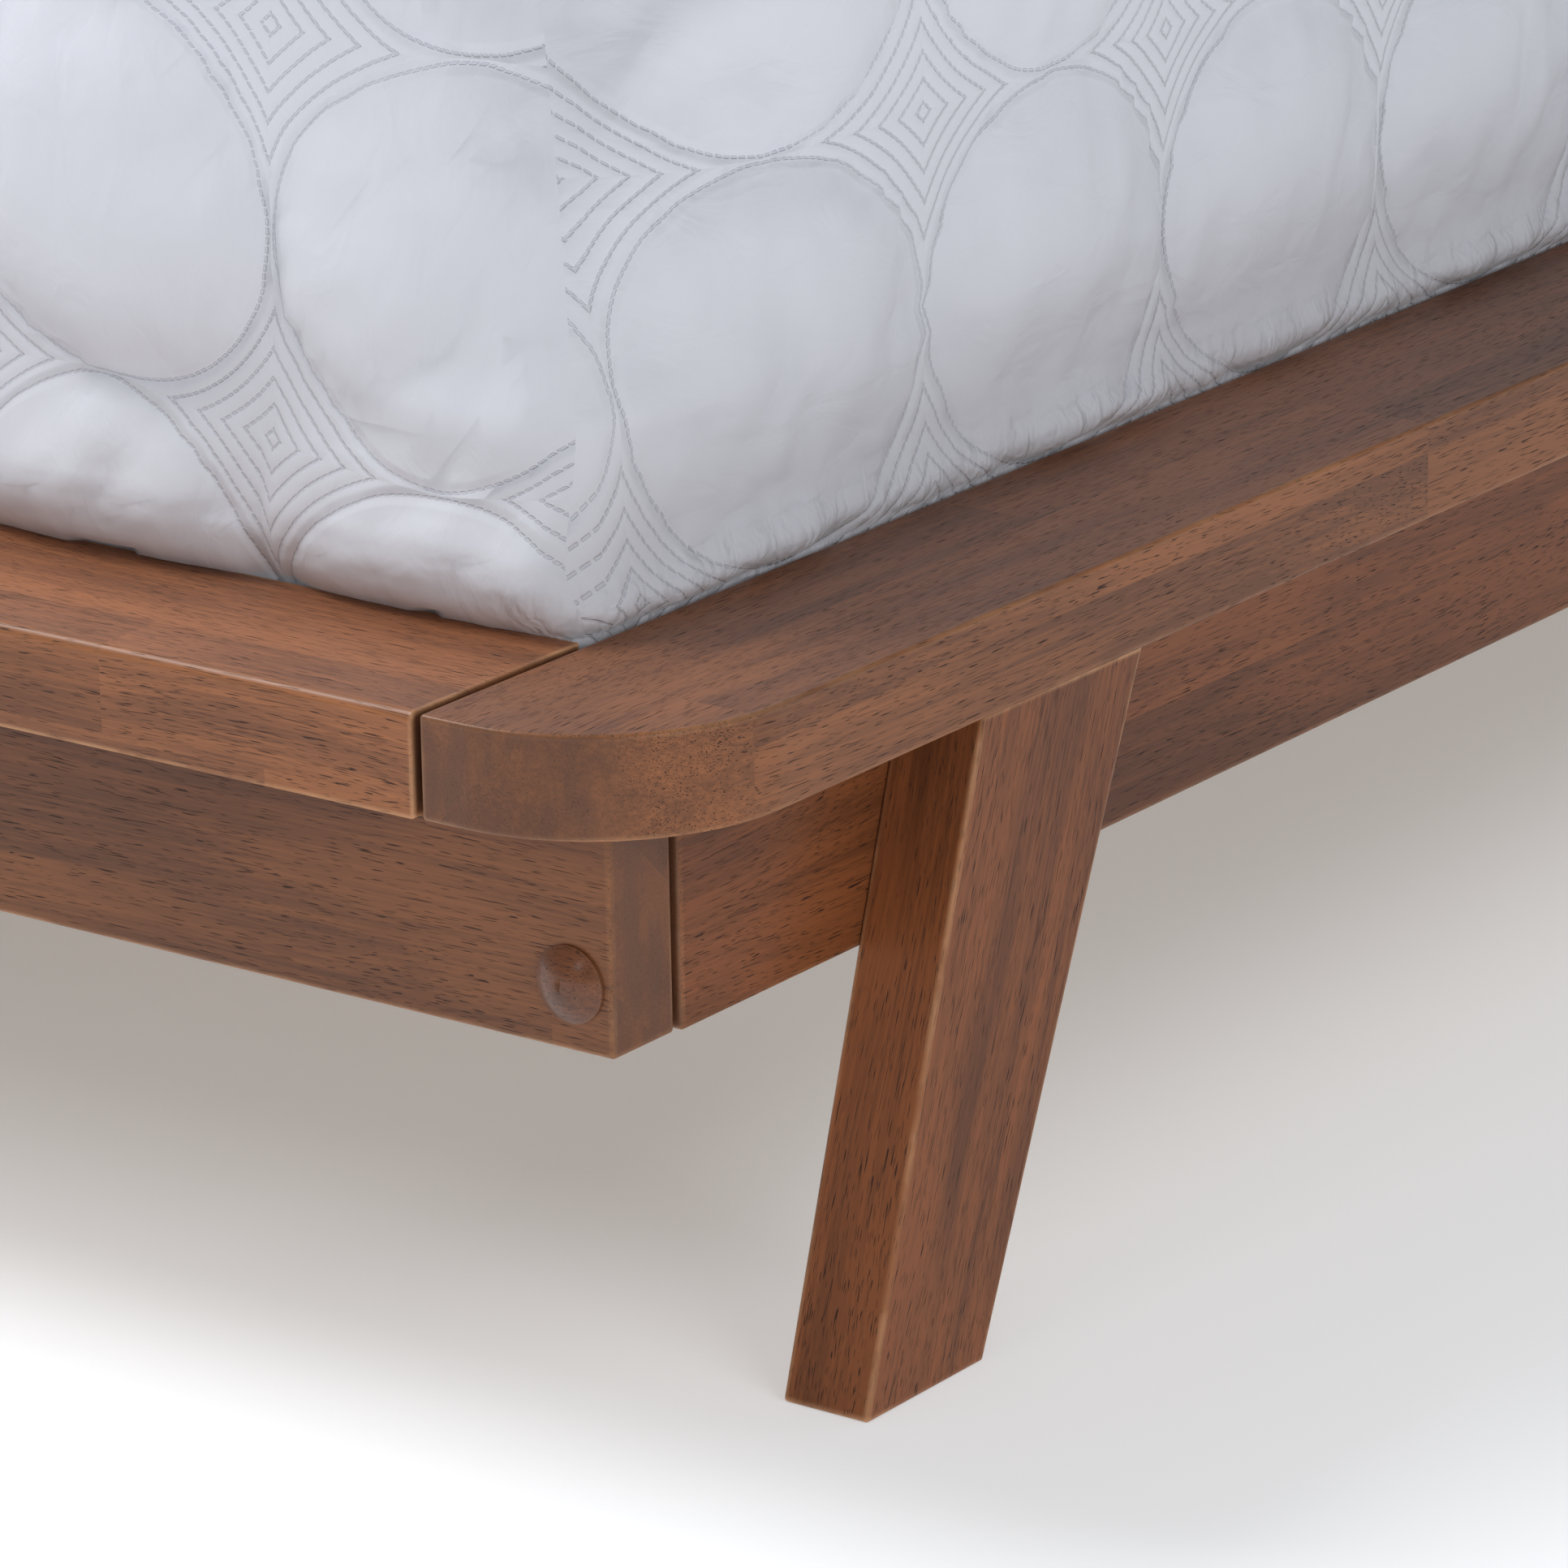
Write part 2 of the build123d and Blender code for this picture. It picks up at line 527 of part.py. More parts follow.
corner_bolt_length = END_RAIL_THICKNESS - COUNTERBORE_DEPTH + RAIL_GAP + NUT_FROM_END + BOLT_PAST_NUT
group(
    bolt(corner_bolt_length),
    [aimed((x, face + way * COUNTERBORE_DEPTH, CORNER_BOLT_Z), (0, way, 0)) for x, face, inner, way in CORNERS],
    "corner_bolts",
)

with BuildPart() as barrel_nut:
    Cylinder(NUT_RADIUS, NUT_LENGTH, rotation=(0, 90, 0))
    Cylinder(INSERT_BORE, 3 * NUT_RADIUS, rotation=(90, 0, 0), mode=Mode.SUBTRACT)
group(
    barrel_nut.part,
    [Location((x, inner + way * (RAIL_GAP + NUT_FROM_END), CORNER_BOLT_Z)) for x, face, inner, way in CORNERS],
    "barrel_nuts",
)

CAP_RADIUS = 13
CAP_RIM = 1
CAP_DOME = 5
CAP_SPHERE = (CAP_RADIUS**2 + CAP_DOME**2) / (2 * CAP_DOME)
CAP_PLUG_RADIUS = 8.9
CAP_PLUG_LENGTH = 8
with BuildPart() as cap:
    with BuildSketch(Plane.XZ):
        with BuildLine():
            Polyline(
                (0, CAP_RIM + CAP_DOME),
                (0, -CAP_PLUG_LENGTH),
                (CAP_PLUG_RADIUS, -CAP_PLUG_LENGTH),
                (CAP_PLUG_RADIUS, 0),
                (CAP_RADIUS, 0),
                (CAP_RADIUS, CAP_RIM),
            )
            RadiusArc((CAP_RADIUS, CAP_RIM), (0, CAP_RIM + CAP_DOME), -CAP_SPHERE)
        make_face()
    revolve(axis=Axis.Z)
group(
    cap.part,
    [aimed((x, face, CORNER_BOLT_Z), (0, way, 0)) for x, face, inner, way in CORNERS],
    "bolt_caps",
)

dowel_length = DOWEL_IN_END_RAIL + RAIL_GAP + DOWEL_IN_SIDE_RAIL - 2
with BuildPart() as dowel:
    Cylinder(DOWEL_RADIUS, dowel_length, align=(Align.CENTER, Align.CENTER, Align.MAX))
    chamfer(dowel.edges().filter_by(GeomType.CIRCLE), 1)
group(
    dowel.part,
    [
        aimed((x, inner - way * (DOWEL_IN_END_RAIL - 1), CORNER_DOWEL_Z), (0, way, 0))
        for x, face, inner, way in CORNERS
    ],
    "corner_dowels",
)

group(
    bolt(SIDE_RAIL_THICKNESS + INSERT_LENGTH + 4),
    [
        aimed((side * SIDE_RAIL_INNER, y, LEG_BOLT_Z), (side, 0, 0))
        for side in (-1, 1)
        for y in LEG_BOLT_Y
    ],
    "leg_bolts",
)
group(
    bolt(POST_BOLT_LENGTH),
    [aimed((0, y, SLAT_BOTTOM - BOLT_HEAD_HEIGHT - 1), (0, 0, -1)) for y in POST_Y],
    "post_bolts",
)
group(
    bolt(END_RAIL_THICKNESS + INSERT_LENGTH + 4),
    [
        aimed((x, HEAD_RAIL_INNER, z), (0, 1, 0))
        for x in (-UPRIGHT_SPREAD / 2, UPRIGHT_SPREAD / 2)
        for z in UPRIGHT_BOLTS_Z
    ],
    "headboard_bolts",
)

with BuildPart() as threaded_insert:
    Cylinder(INSERT_RADIUS, INSERT_LENGTH, align=(Align.CENTER, Align.CENTER, Align.MAX))
    Cylinder(INSERT_BORE, INSERT_LENGTH, align=(Align.CENTER, Align.CENTER, Align.MAX), mode=Mode.SUBTRACT)
insert_places = [
    aimed((side * SIDE_RAIL_FACE, y, LEG_BOLT_Z), (side, 0, 0)) for side in (-1, 1) for y in LEG_BOLT_Y
]
insert_places += [aimed((0, y, BEAM_BOTTOM), (0, 0, -1)) for y in POST_Y]
insert_places += [aimed((0, y, POST_BOTTOM), (0, 0, 1)) for y in POST_Y]
insert_places += [
    aimed((x, HEAD, z), (0, 1, 0))
    for x in (-UPRIGHT_SPREAD / 2, UPRIGHT_SPREAD / 2)
    for z in UPRIGHT_BOLTS_Z
]
group(threaded_insert.part, insert_places, "threaded_inserts")

# ---------------------------------------------------------------- wood screws

slat_screw_places = []
for y in SLAT_Y:
    if CLEAT_SPAN[0] < y < CLEAT_SPAN[1]:
        slat_screw_places += [aimed((side * SLAT_SCREW_X, y, SLAT_TOP), (0, 0, -1)) for side in (-1, 1)]
    if min(abs(y - post) for post in POST_Y) > BOLT_HEAD_RADIUS + SCREW_HEAD_RADIUS:
        slat_screw_places.append(aimed((0, y, SLAT_TOP), (0, 0, -1)))
group(wood_screw(SLAT_SCREW_LENGTH), slat_screw_places, "slat_screws")

long_screw_places = [
    aimed((side * CLEAT_INNER, y, CLEAT_MIDDLE), (side, 0, 0)) for side in (-1, 1) for y in CLEAT_SCREW_Y
]
long_screw_places += [
    aimed((side * UPRIGHT_SPREAD / 2, HEAD + UPRIGHT_THICKNESS, board_z + up), (0, -1, 0))
    for side in (-1, 1)
    for board_z in BOARD_Z
    for up in BOARD_SCREWS_Z
]
group(wood_screw(LONG_SCREW_LENGTH), long_screw_places, "long_wood_screws")

group(
    wood_screw(HANGER_SCREW_LENGTH),
    [
        aimed((x, inner + inward * HANGER_PLATE, z), (0, -inward, 0))
        for inner, inward in ((FOOT_RAIL_INNER, 1), (HEAD_RAIL_INNER, -1))
        for x in HANGER_SCREW_X
        for z in HANGER_SCREW_Z
    ],
    "hanger_screws",
)

ledge_screw_z = RAIL_BOTTOM + LEDGE_SCREW_BASE
ledge_screw_places = [(side * SIDE_RAIL_MIDDLE, y) for side in (-1, 1) for y in LEDGE_SCREW_Y]
ledge_screw_places += [(x, y) for y in (FOOT_RAIL_MIDDLE, HEAD_RAIL_MIDDLE) for x in LEDGE_SCREW_X]
group(
    wood_screw(LEDGE_SCREW_LENGTH),
    [aimed((x, y, ledge_screw_z), (0, 0, 1)) for x, y in ledge_screw_places],
    "ledge_screws",
)

# ---------------------------------------------------------------- mattress and coverlet

MATTRESS_Y = FOOT + FOOT_LEDGE_WIDTH + TUCK_ROOM + MATTRESS_LENGTH / 2
COVERLET_BOTTOM = SLAT_TOP + 8


def rounded_slab(grow, bottom, top):
    """The mattress's block, grown sideways and with its top edge rounded to match."""
    with BuildPart() as slab:
        with BuildSketch(Plane(origin=(0, MATTRESS_Y, bottom))):
            RectangleRounded(
                MATTRESS_WIDTH + 2 * grow, MATTRESS_LENGTH + 2 * grow, MATTRESS_CORNER + grow
            )
        extrude(amount=top - bottom)
        fillet(slab.faces().sort_by(Axis.Z)[-1].edges(), MATTRESS_EDGE + grow)
    return slab.part


with BuildPart() as mattress:
    add(rounded_slab(0, SLAT_TOP, MATTRESS_TOP))
    fillet(mattress.faces().sort_by(Axis.Z)[0].edges(), 12)
save(mattress.part, "mattress")

COVERLET_GROWTH = COVERLET_CLEARANCE + COVERLET_THICKNESS
with BuildPart() as coverlet:
    add(rounded_slab(COVERLET_GROWTH, COVERLET_BOTTOM, MATTRESS_TOP + COVERLET_GROWTH))
    add(
        rounded_slab(COVERLET_CLEARANCE, COVERLET_BOTTOM, MATTRESS_TOP + COVERLET_CLEARANCE),
        mode=Mode.SUBTRACT,
    )
save(coverlet.part, "coverlet")

print(f"{len(NODES)} nodes, {WIDTH} x {FRAME_LENGTH + UPRIGHT_THICKNESS} mm")
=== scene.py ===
# %% [markdown]
# # A low platform bed
# The bed is a frame of stained hardwood planks with a mattress sunk into it, under a quilted
# white coverlet. Every plank, bolt and slat arrives as a finished CAD mesh. This lesson gives
# them their wood and steel, and makes the two soft pieces, the coverlet and the mattress.
# Everything is in metres: X runs across the bed, Y from the foot to the head, and Z up.

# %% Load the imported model
import bpy
import bmesh
import math
import numpy as np
from mathutils import Matrix, Vector


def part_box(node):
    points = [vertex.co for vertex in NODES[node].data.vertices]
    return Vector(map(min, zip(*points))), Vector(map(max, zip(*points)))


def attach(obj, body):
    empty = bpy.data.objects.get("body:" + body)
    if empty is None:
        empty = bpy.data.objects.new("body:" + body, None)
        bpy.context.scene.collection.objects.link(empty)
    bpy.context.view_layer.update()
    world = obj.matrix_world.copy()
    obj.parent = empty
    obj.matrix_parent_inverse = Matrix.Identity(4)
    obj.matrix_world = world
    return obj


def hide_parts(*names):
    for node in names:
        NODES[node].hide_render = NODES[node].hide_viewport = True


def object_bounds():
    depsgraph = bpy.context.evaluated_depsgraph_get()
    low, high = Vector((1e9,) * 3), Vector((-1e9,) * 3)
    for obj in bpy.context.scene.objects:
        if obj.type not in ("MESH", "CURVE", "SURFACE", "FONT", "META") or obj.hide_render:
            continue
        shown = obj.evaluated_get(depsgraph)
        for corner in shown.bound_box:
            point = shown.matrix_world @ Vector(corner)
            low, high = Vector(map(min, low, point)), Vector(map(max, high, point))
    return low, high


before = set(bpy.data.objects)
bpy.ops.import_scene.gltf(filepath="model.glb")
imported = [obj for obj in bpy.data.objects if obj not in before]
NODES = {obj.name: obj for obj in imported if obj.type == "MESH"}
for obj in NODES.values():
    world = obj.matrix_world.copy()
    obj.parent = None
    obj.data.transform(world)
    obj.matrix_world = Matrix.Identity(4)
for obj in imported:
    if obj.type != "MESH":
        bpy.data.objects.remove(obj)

CAD_BOX = [list(corner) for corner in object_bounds()]
print("loaded", len(NODES), "pieces in a box of", CAD_BOX)

# %% [markdown]
# ## Where things are
# The ledge is the wide board round the mattress. Its inner edges, its top and the mattress's
# box place the soft pieces, so they are read from the frame once, here.

# %% Places read from the frame
side_low, side_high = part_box("side_ledge_right")
mattress_low, mattress_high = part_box("mattress")
coverlet_low, coverlet_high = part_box("coverlet")
LEDGE_TOP = side_high.z
LEDGE_INNER_X = side_low.x
LEDGE_FOOT_INNER_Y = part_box("foot_ledge")[1].y
LEDGE_HEAD_INNER_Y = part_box("head_ledge")[0].y
NEAR_CORNER = Vector((side_high.x, side_low.y, LEDGE_TOP))
print("ledge top at", round(LEDGE_TOP, 4), "near corner", tuple(round(c, 4) for c in NEAR_CORNER))

# %% [markdown]
# ## The camera
# A long lens a few metres from the foot corner keeps the planks' edges nearly parallel, as in a
# catalogue close-up. The camera is placed from the ledge's near corner, so it follows the bed.

# %% Camera


def new_object(name, data):
    """An object in the scene that shows the given mesh, camera or lamp."""
    made = bpy.data.objects.new(name, data)
    bpy.context.scene.collection.objects.link(made)
    return made


CAMERA_FROM_CORNER = Vector((1.4752, -1.9103, 0.7958))
CAMERA_YAW = 36.666  # degrees, from +Y towards -X
CAMERA_PITCH = 18.411  # degrees, downwards
CAMERA_ROLL = -1.062
CAMERA_LENS = 191.63
SENSOR_WIDTH = 36.0


def make_camera():
    data = bpy.data.cameras.new("catalogue_camera")
    data.lens = CAMERA_LENS
    data.sensor_width = SENSOR_WIDTH
    data.clip_end = 100
    camera = new_object("catalogue_camera", data)
    turn = Matrix.Rotation(math.radians(CAMERA_YAW), 4, "Z")
    tilt = Matrix.Rotation(math.radians(90 - CAMERA_PITCH), 4, "X")
    roll = Matrix.Rotation(math.radians(CAMERA_ROLL), 4, "Z")
    place = Matrix.Translation(NEAR_CORNER + CAMERA_FROM_CORNER)
    camera.matrix_world = place @ turn @ tilt @ roll
    bpy.context.scene.camera = camera
    return camera


camera = make_camera()
print("camera at", tuple(round(c, 3) for c in camera.matrix_world.translation))

# %% [markdown]
# ## Helpers for node trees
# Materials and Geometry Nodes are both trees of small nodes. A few helpers keep their code
# short: they add a node and fill its inputs, do arithmetic on numbers and on vectors, blend
# colours, and read noise.

# %% Node helpers


def put(tree, kind, settings=None, **inputs):
    """Adds a node. An input is linked if it is given a socket, and set if it is given a value."""
    made = tree.nodes.new(kind)
    for key, value in (settings or {}).items():
        setattr(made, key, value)
    for key, value in inputs.items():
        target = made.inputs[int(key[1:])] if key[1:].isdigit() else made.inputs[key.replace("_", " ")]
        if isinstance(value, bpy.types.NodeSocket):
            tree.links.new(value, target)
        else:
            target.default_value = value
    return made


def calc(tree, operation, *values):
    """The result of a Math node."""
    inputs = {f"i{i}": value for i, value in enumerate(values)}
    return put(tree, "ShaderNodeMath", {"operation": operation}, **inputs).outputs[0]


def plus(tree, first, second):
    return calc(tree, "ADD", first, second)


def minus(tree, first, second):
    return calc(tree, "SUBTRACT", first, second)


def times(tree, first, second):
    return calc(tree, "MULTIPLY", first, second)


def vector_calc(tree, operation, *values, **named):
    """The result of a Vector Math node: a vector, or a number from LENGTH and DOT_PRODUCT."""
    named.update({f"i{i}": value for i, value in enumerate(values)})
    made = put(tree, "ShaderNodeVectorMath", {"operation": operation}, **named)
    return made.outputs["Value" if operation in ("LENGTH", "DOT_PRODUCT") else "Vector"]


def swing(tree, value, size):
    """A value from 0 to 1 turned into one from -size / 2 to size / 2."""
    return times(tree, minus(tree, value, 0.5), size)


def blend_colors(tree, factor, first, second, mode="MIX"):
    """One colour laid over another."""
    settings = {"data_type": "RGBA", "blend_type": mode}
    return put(tree, "ShaderNodeMix", settings, i0=factor, i6=first, i7=second).outputs[2]


def ramp(tree, value, low, high, start=0.0, end=1.0):
    """Start below low, end above high, and a smooth change between."""
    settings = {"interpolation_type": "SMOOTHSTEP"}
    made = put(tree, "ShaderNodeMapRange", settings, i0=value, i1=low, i2=high, i3=start, i4=end)
    return made.outputs[0]


def noise(tree, vector, scale, detail=2.0, roughness=0.5, distortion=0.0):
    """A soft random value from 0 to 1. Three scales squeeze its pattern differently along each axis."""
    if isinstance(scale, tuple):
        vector, scale = vector_calc(tree, "MULTIPLY", vector, scale), 1.0
    fixed = {"Scale": scale, "Detail": detail, "Roughness": roughness, "Distortion": distortion}
    return put(tree, "ShaderNodeTexNoise", Vector=vector, **fixed).outputs[0]


def object_place(tree):
    return put(tree, "ShaderNodeTexCoord").outputs["Object"]


def new_group(name, kind, inputs, outputs):
    """An empty node group with named sockets: the tree, its input node and its output node."""
    tree = bpy.data.node_groups.new(name, kind)
    for socket, (socket_type, default) in inputs.items():
        made = tree.interface.new_socket(name=socket, in_out="INPUT", socket_type=socket_type)
        if default is not None:
            made.default_value = default
    for socket, socket_type in outputs.items():
        tree.interface.new_socket(name=socket, in_out="OUTPUT", socket_type=socket_type)
    return tree, tree.nodes.new("NodeGroupInput"), tree.nodes.new("NodeGroupOutput")


def new_material(name, **fixed):
    """A material with one Principled shader, whose fixed values are set on its own sockets."""
    material = bpy.data.materials.new(name)
    material.use_nodes = True
    tree = material.node_tree
    shader = next(n for n in tree.nodes if n.type == "BSDF_PRINCIPLED")
    for key, value in fixed.items():
        shader.inputs[key.replace("_", " ")].default_value = value
    return material, tree, shader


def feed(tree, shader, **values):
    """Links values to the shader's sockets, by name."""
    for key, value in values.items():
        tree.links.new(value, shader.inputs[key.replace("_", " ")])


def add_bump(tree, shader, height, strength):
    """Bump from a height in metres."""
    bump = put(tree, "ShaderNodeBump", Height=height, Distance=1.0, Strength=strength)
    feed(tree, shader, Normal=bump.outputs[0])


print("node helpers are ready")

# %% [markdown]
# ## The wood's grain
# The frame is plantation hardwood: an open-pored timber with short dark pores, glued up from
# staves and stained walnut brown. An image would repeat, so the grain is worked out from noise
# that is long along the board and short across it. One group makes it for every board. Each
# board turns its own coordinates so that the group's X always runs along the grain.

# %% Parts of the grain
FLOAT = "NodeSocketFloat"
VECTOR = "NodeSocketVector"


def find_stave(tree, place, seed, length, width):
    """A random number and colour for each stave: rows across a board, and blocks along a row."""
    split = put(tree, "ShaderNodeSeparateXYZ", Vector=place).outputs
    across = plus(tree, split[1], split[2])
    row = calc(tree, "FLOOR", calc(tree, "DIVIDE", plus(tree, across, seed), width))
    row_seed = plus(tree, row, seed)
    shift = put(tree, "ShaderNodeTexWhiteNoise", {"noise_dimensions": "1D"}, W=row_seed).outputs[0]
    block = calc(tree, "FLOOR", plus(tree, calc(tree, "DIVIDE", split[0], length), shift))
    key = put(tree, "ShaderNodeCombineXYZ", X=row, Y=block, Z=seed).outputs[0]
    return put(tree, "ShaderNodeTexWhiteNoise", {"noise_dimensions": "3D"}, Vector=key).outputs


def bend(tree, spot):
    """Slow waves that bend the lines of the grain."""
    sideways = swing(tree, noise(tree, spot, (3.0, 9.0, 9.0), 1.0), 0.03)
    move = put(tree, "ShaderNodeCombineXYZ", X=0.0, Y=sideways, Z=sideways).outputs[0]
    return vector_calc(tree, "ADD", spot, move)


def long_pores(tree, bent, amount):
    """Short dark dashes along the grain, in loose clusters."""
    clusters = noise(tree, bent, (9.0, 34.0, 34.0), 2.0)
    dashes = noise(tree, bent, (110.0, 3000.0, 3000.0), 0.0)
    eased = times(tree, amount, times(tree, clusters, 0.30))
    return ramp(tree, plus(tree, dashes, eased), 0.74, 0.82)


def cut_end(tree, spot, facing):
    """How far a face is a cut end, and the dots that pores make there."""
    straight = calc(tree, "ABSOLUTE", put(tree, "ShaderNodeSeparateXYZ", Vector=facing).outputs[0])
    dots = ramp(tree, noise(tree, spot, (900.0, 1700.0, 1700.0), 1.0), 0.60, 0.72)
    rings = noise(tree, spot, (20.0, 120.0, 26.0), 3.0)
    dots = times(tree, dots, ramp(tree, rings, 0.35, 0.6, 0.2, 0.6))
    ringed = ramp(tree, rings, 0.36, 0.62, 0.45, 1.0)
    return times(tree, ramp(tree, straight, 0.6, 0.85), ringed), dots


print("staves, waves, pores and cut ends are ready")

# %% [markdown]
# Every stave is cut from another part of the tree, so each reads the noise somewhere else.

# %% Grain group
GRAIN_INPUTS = {
    "Along": (VECTOR, None),
    "Facing": (VECTOR, None),
    "Seed": (FLOAT, 0.0),
    "Stave Length": (FLOAT, 0.39),
    "Stave Width": (FLOAT, 0.058),
    "Pore Amount": (FLOAT, 0.5),
}
GRAIN_RESULTS = ("Figure", "Streaks", "Pores", "Stave Tone", "End Grain", "Height")


def make_grain_group():
    """Figure, pores, stave tone and height of a glued-up board, with its grain along X."""
    outputs = dict.fromkeys(GRAIN_RESULTS, FLOAT)
    tree, given, result = new_group("board_grain", "ShaderNodeTree", GRAIN_INPUTS, outputs)
    place, facing, seed, length, width, amount = list(given.outputs)[: len(GRAIN_INPUTS)]
    stave_tone, stave_color = find_stave(tree, place, seed, length, width)
    spot = vector_calc(tree, "ADD", place, vector_calc(tree, "SCALE", stave_color, Scale=7.0))
    bent = bend(tree, spot)
    clouds = noise(tree, bent, (4.0, 21.0, 21.0), 3.0, 0.55, 0.4)
    bands = noise(tree, bent, (2.4, 95.0, 95.0), 3.0, 0.6)
    figure = plus(tree, times(tree, clouds, 0.62), times(tree, bands, 0.38))
    streaks = noise(tree, bent, (16.0, 800.0, 800.0), 3.0, 0.6)
    pores = long_pores(tree, bent, amount)
    end, dots = cut_end(tree, spot, facing)
    shown = put(tree, "ShaderNodeMix", {"data_type": "FLOAT"}, i0=end, i2=pores, i3=dots).outputs[0]
    fibre = times(tree, streaks, 0.00003)
    height = minus(tree, fibre, times(tree, shown, 0.00008))
    values = (figure, streaks, shown, stave_tone, end, height)
    for name, value in zip(GRAIN_RESULTS, values):
        tree.links.new(value, result.inputs[name])
    return tree


GRAIN = make_grain_group()
print("grain group has", len(GRAIN.nodes), "nodes")

# %% [markdown]
# ## Rubbed edges and painted highlights
# Stain is rubbed through first where a board turns a corner, which leaves a thin paler line. The same
# paler line also stands in for the highlight a rounded edge catches, so it is partly a painted
# highlight.
# The Bevel node rounds the surface's direction near an edge, so where it differs from the true
# direction there is an edge. Noise breaks the line up, because hands don't rub it evenly.

# %% Edge wear and painted highlight group


def make_wear_and_highlight_group():
    """A mask that is 1 on rubbed edges, patchy along them: rubbed stain and a painted highlight."""
    tree, given, result = new_group(
        "edge_wear",
        "ShaderNodeTree",
        {"Place": (VECTOR, None), "Width": (FLOAT, 0.0026), "Patchiness": (FLOAT, 0.65)},
        {"Worn": FLOAT},
    )
    rounded = put(tree, "ShaderNodeBevel", {"samples": 4}, Radius=given.outputs["Width"]).outputs[0]
    true = put(tree, "ShaderNodeNewGeometry").outputs["True Normal"]
    agree = vector_calc(tree, "DOT_PRODUCT", rounded, true)
    edge = ramp(tree, minus(tree, 1.0, agree), 0.004, 0.06)
    patches = ramp(tree, noise(tree, given.outputs["Place"], 26.0, 4.0, 0.65), 0.40, 0.60)
    bare = minus(tree, 1.0, patches)
    keep = minus(tree, 1.0, times(tree, given.outputs["Patchiness"], bare))
    tree.links.new(times(tree, edge, keep), result.inputs["Worn"])
    return tree


WEAR_AND_HIGHLIGHT = make_wear_and_highlight_group()
print("edge wear group has", len(WEAR_AND_HIGHLIGHT.nodes), "nodes")

# %% [markdown]
# ## Wood finishes
# A finish is one material per board, because each board has its own grain direction and its own
# random start. The stain is darkest in the pores and on cut ends, which soak it up, and the
# satin lacquer over it is the coat on the shader.

# %% Wood material
ALONG_X = (0.0, 0.0, 0.0)
ALONG_Y = (0.0, 0.0, -90.0)
ALONG_Z = (0.0, 90.0, 0.0)
STAIN = {
    "light": (0.325, 0.122, 0.048, 1),
    "dark": (0.165, 0.064, 0.030, 1),
    "pore": (0.030, 0.011, 0.006, 1),
    "end": (0.125, 0.056, 0.032, 1),
    # the paler edge colour: rubbed stain, and a painted highlight on rounded edges
    "worn_and_highlit": (0.66, 0.36, 0.18, 1),
}
RED_STAIN = {**STAIN, "light": (0.300, 0.096, 0.032, 1), "dark": (0.150, 0.050, 0.019, 1)}
PALE = {
    "light": (0.66, 0.45, 0.25, 1),
    "dark": (0.46, 0.28, 0.135, 1),
    "pore": (0.25, 0.14, 0.07, 1),
    "end": (0.42, 0.26, 0.14, 1),
    # the paler edge colour: rubbed wood, and a painted highlight on rounded edges
    "worn_and_highlit": (0.72, 0.54, 0.34, 1),
}


def wood_material(name, colors, turn, seed, tone=1.0, pores=0.5, worn_and_highlit=0.9, coat=0.10, rough=0.42):
    """Wood for one board. turn is the Mapping rotation, in degrees, that lays the grain along X."""
    lacquer = {"Coat_Weight": coat, "Coat_Roughness": 0.25, "Specular_IOR_Level": 0.22}
    material, tree, shader = new_material(name, **lacquer)
    coords = put(tree, "ShaderNodeTexCoord")
    angles = tuple(math.radians(a) for a in turn)
    place, normal = coords.outputs["Object"], coords.outputs["Normal"]
    start = (seed * 1.7, seed * 0.61, seed * 0.37)
    along = put(tree, "ShaderNodeMapping", Vector=place, Location=start, Rotation=angles).outputs[0]
    turned = {"vector_type": "VECTOR"}
    facing = put(tree, "ShaderNodeMapping", turned, Vector=normal, Rotation=angles).outputs[0]
    values = {"Along": along, "Facing": facing, "Seed": seed, "Pore_Amount": pores}
    grain = put(tree, "ShaderNodeGroup", {"node_tree": GRAIN}, **values)
    figure = ramp(tree, grain.outputs["Figure"], 0.34, 0.66)
    fine = swing(tree, grain.outputs["Streaks"], 1.9)
    color = blend_colors(tree, plus(tree, figure, fine), colors["light"], colors["dark"])
    stave = ramp(tree, grain.outputs["Stave Tone"], 0.0, 1.0, 0.91 * tone, 1.09 * tone)
    shade = put(tree, "ShaderNodeCombineColor", i0=stave, i1=stave, i2=stave).outputs[0]
    color = blend_colors(tree, 1.0, color, shade, "MULTIPLY")
    end = times(tree, grain.outputs["End Grain"], 0.8)
    color = blend_colors(tree, end, color, colors["end"])
    color = blend_colors(tree, times(tree, grain.outputs["Pores"], 0.9), color, colors["pore"])
    # paler edges: rubbed stain, and a painted highlight on the rounded edges
    wear_and_highlight = put(tree, "ShaderNodeGroup", {"node_tree": WEAR_AND_HIGHLIGHT}, Place=place).outputs[0]
    color = blend_colors(tree, times(tree, wear_and_highlight, worn_and_highlit), color, colors["worn_and_highlit"])
    dull = plus(tree, rough, times(tree, grain.outputs["Pores"], 0.25))
    rubbed = minus(tree, dull, times(tree, wear_and_highlight, 0.08))
    feed(tree, shader, Base_Color=color, Roughness=rubbed)
    add_bump(tree, shader, grain.outputs["Height"], 0.7)
    return material


# %% [markdown]
# Each board's grain runs along its length. The legs slant, so their grain is turned by the
# slant: the front and back edges of a leg lean the same way as the leg does.

# %% Give every board its wood


def leg_turn(lean):
    """Grain along a leg whose top is lean degrees nearer the head than its foot is."""
    return (lean, 90.0, 0.0)


def dress(name, material):
    """Puts one material on a CAD piece."""
    node = NODES[name]
    node.data.materials.clear()
    node.data.materials.append(material)


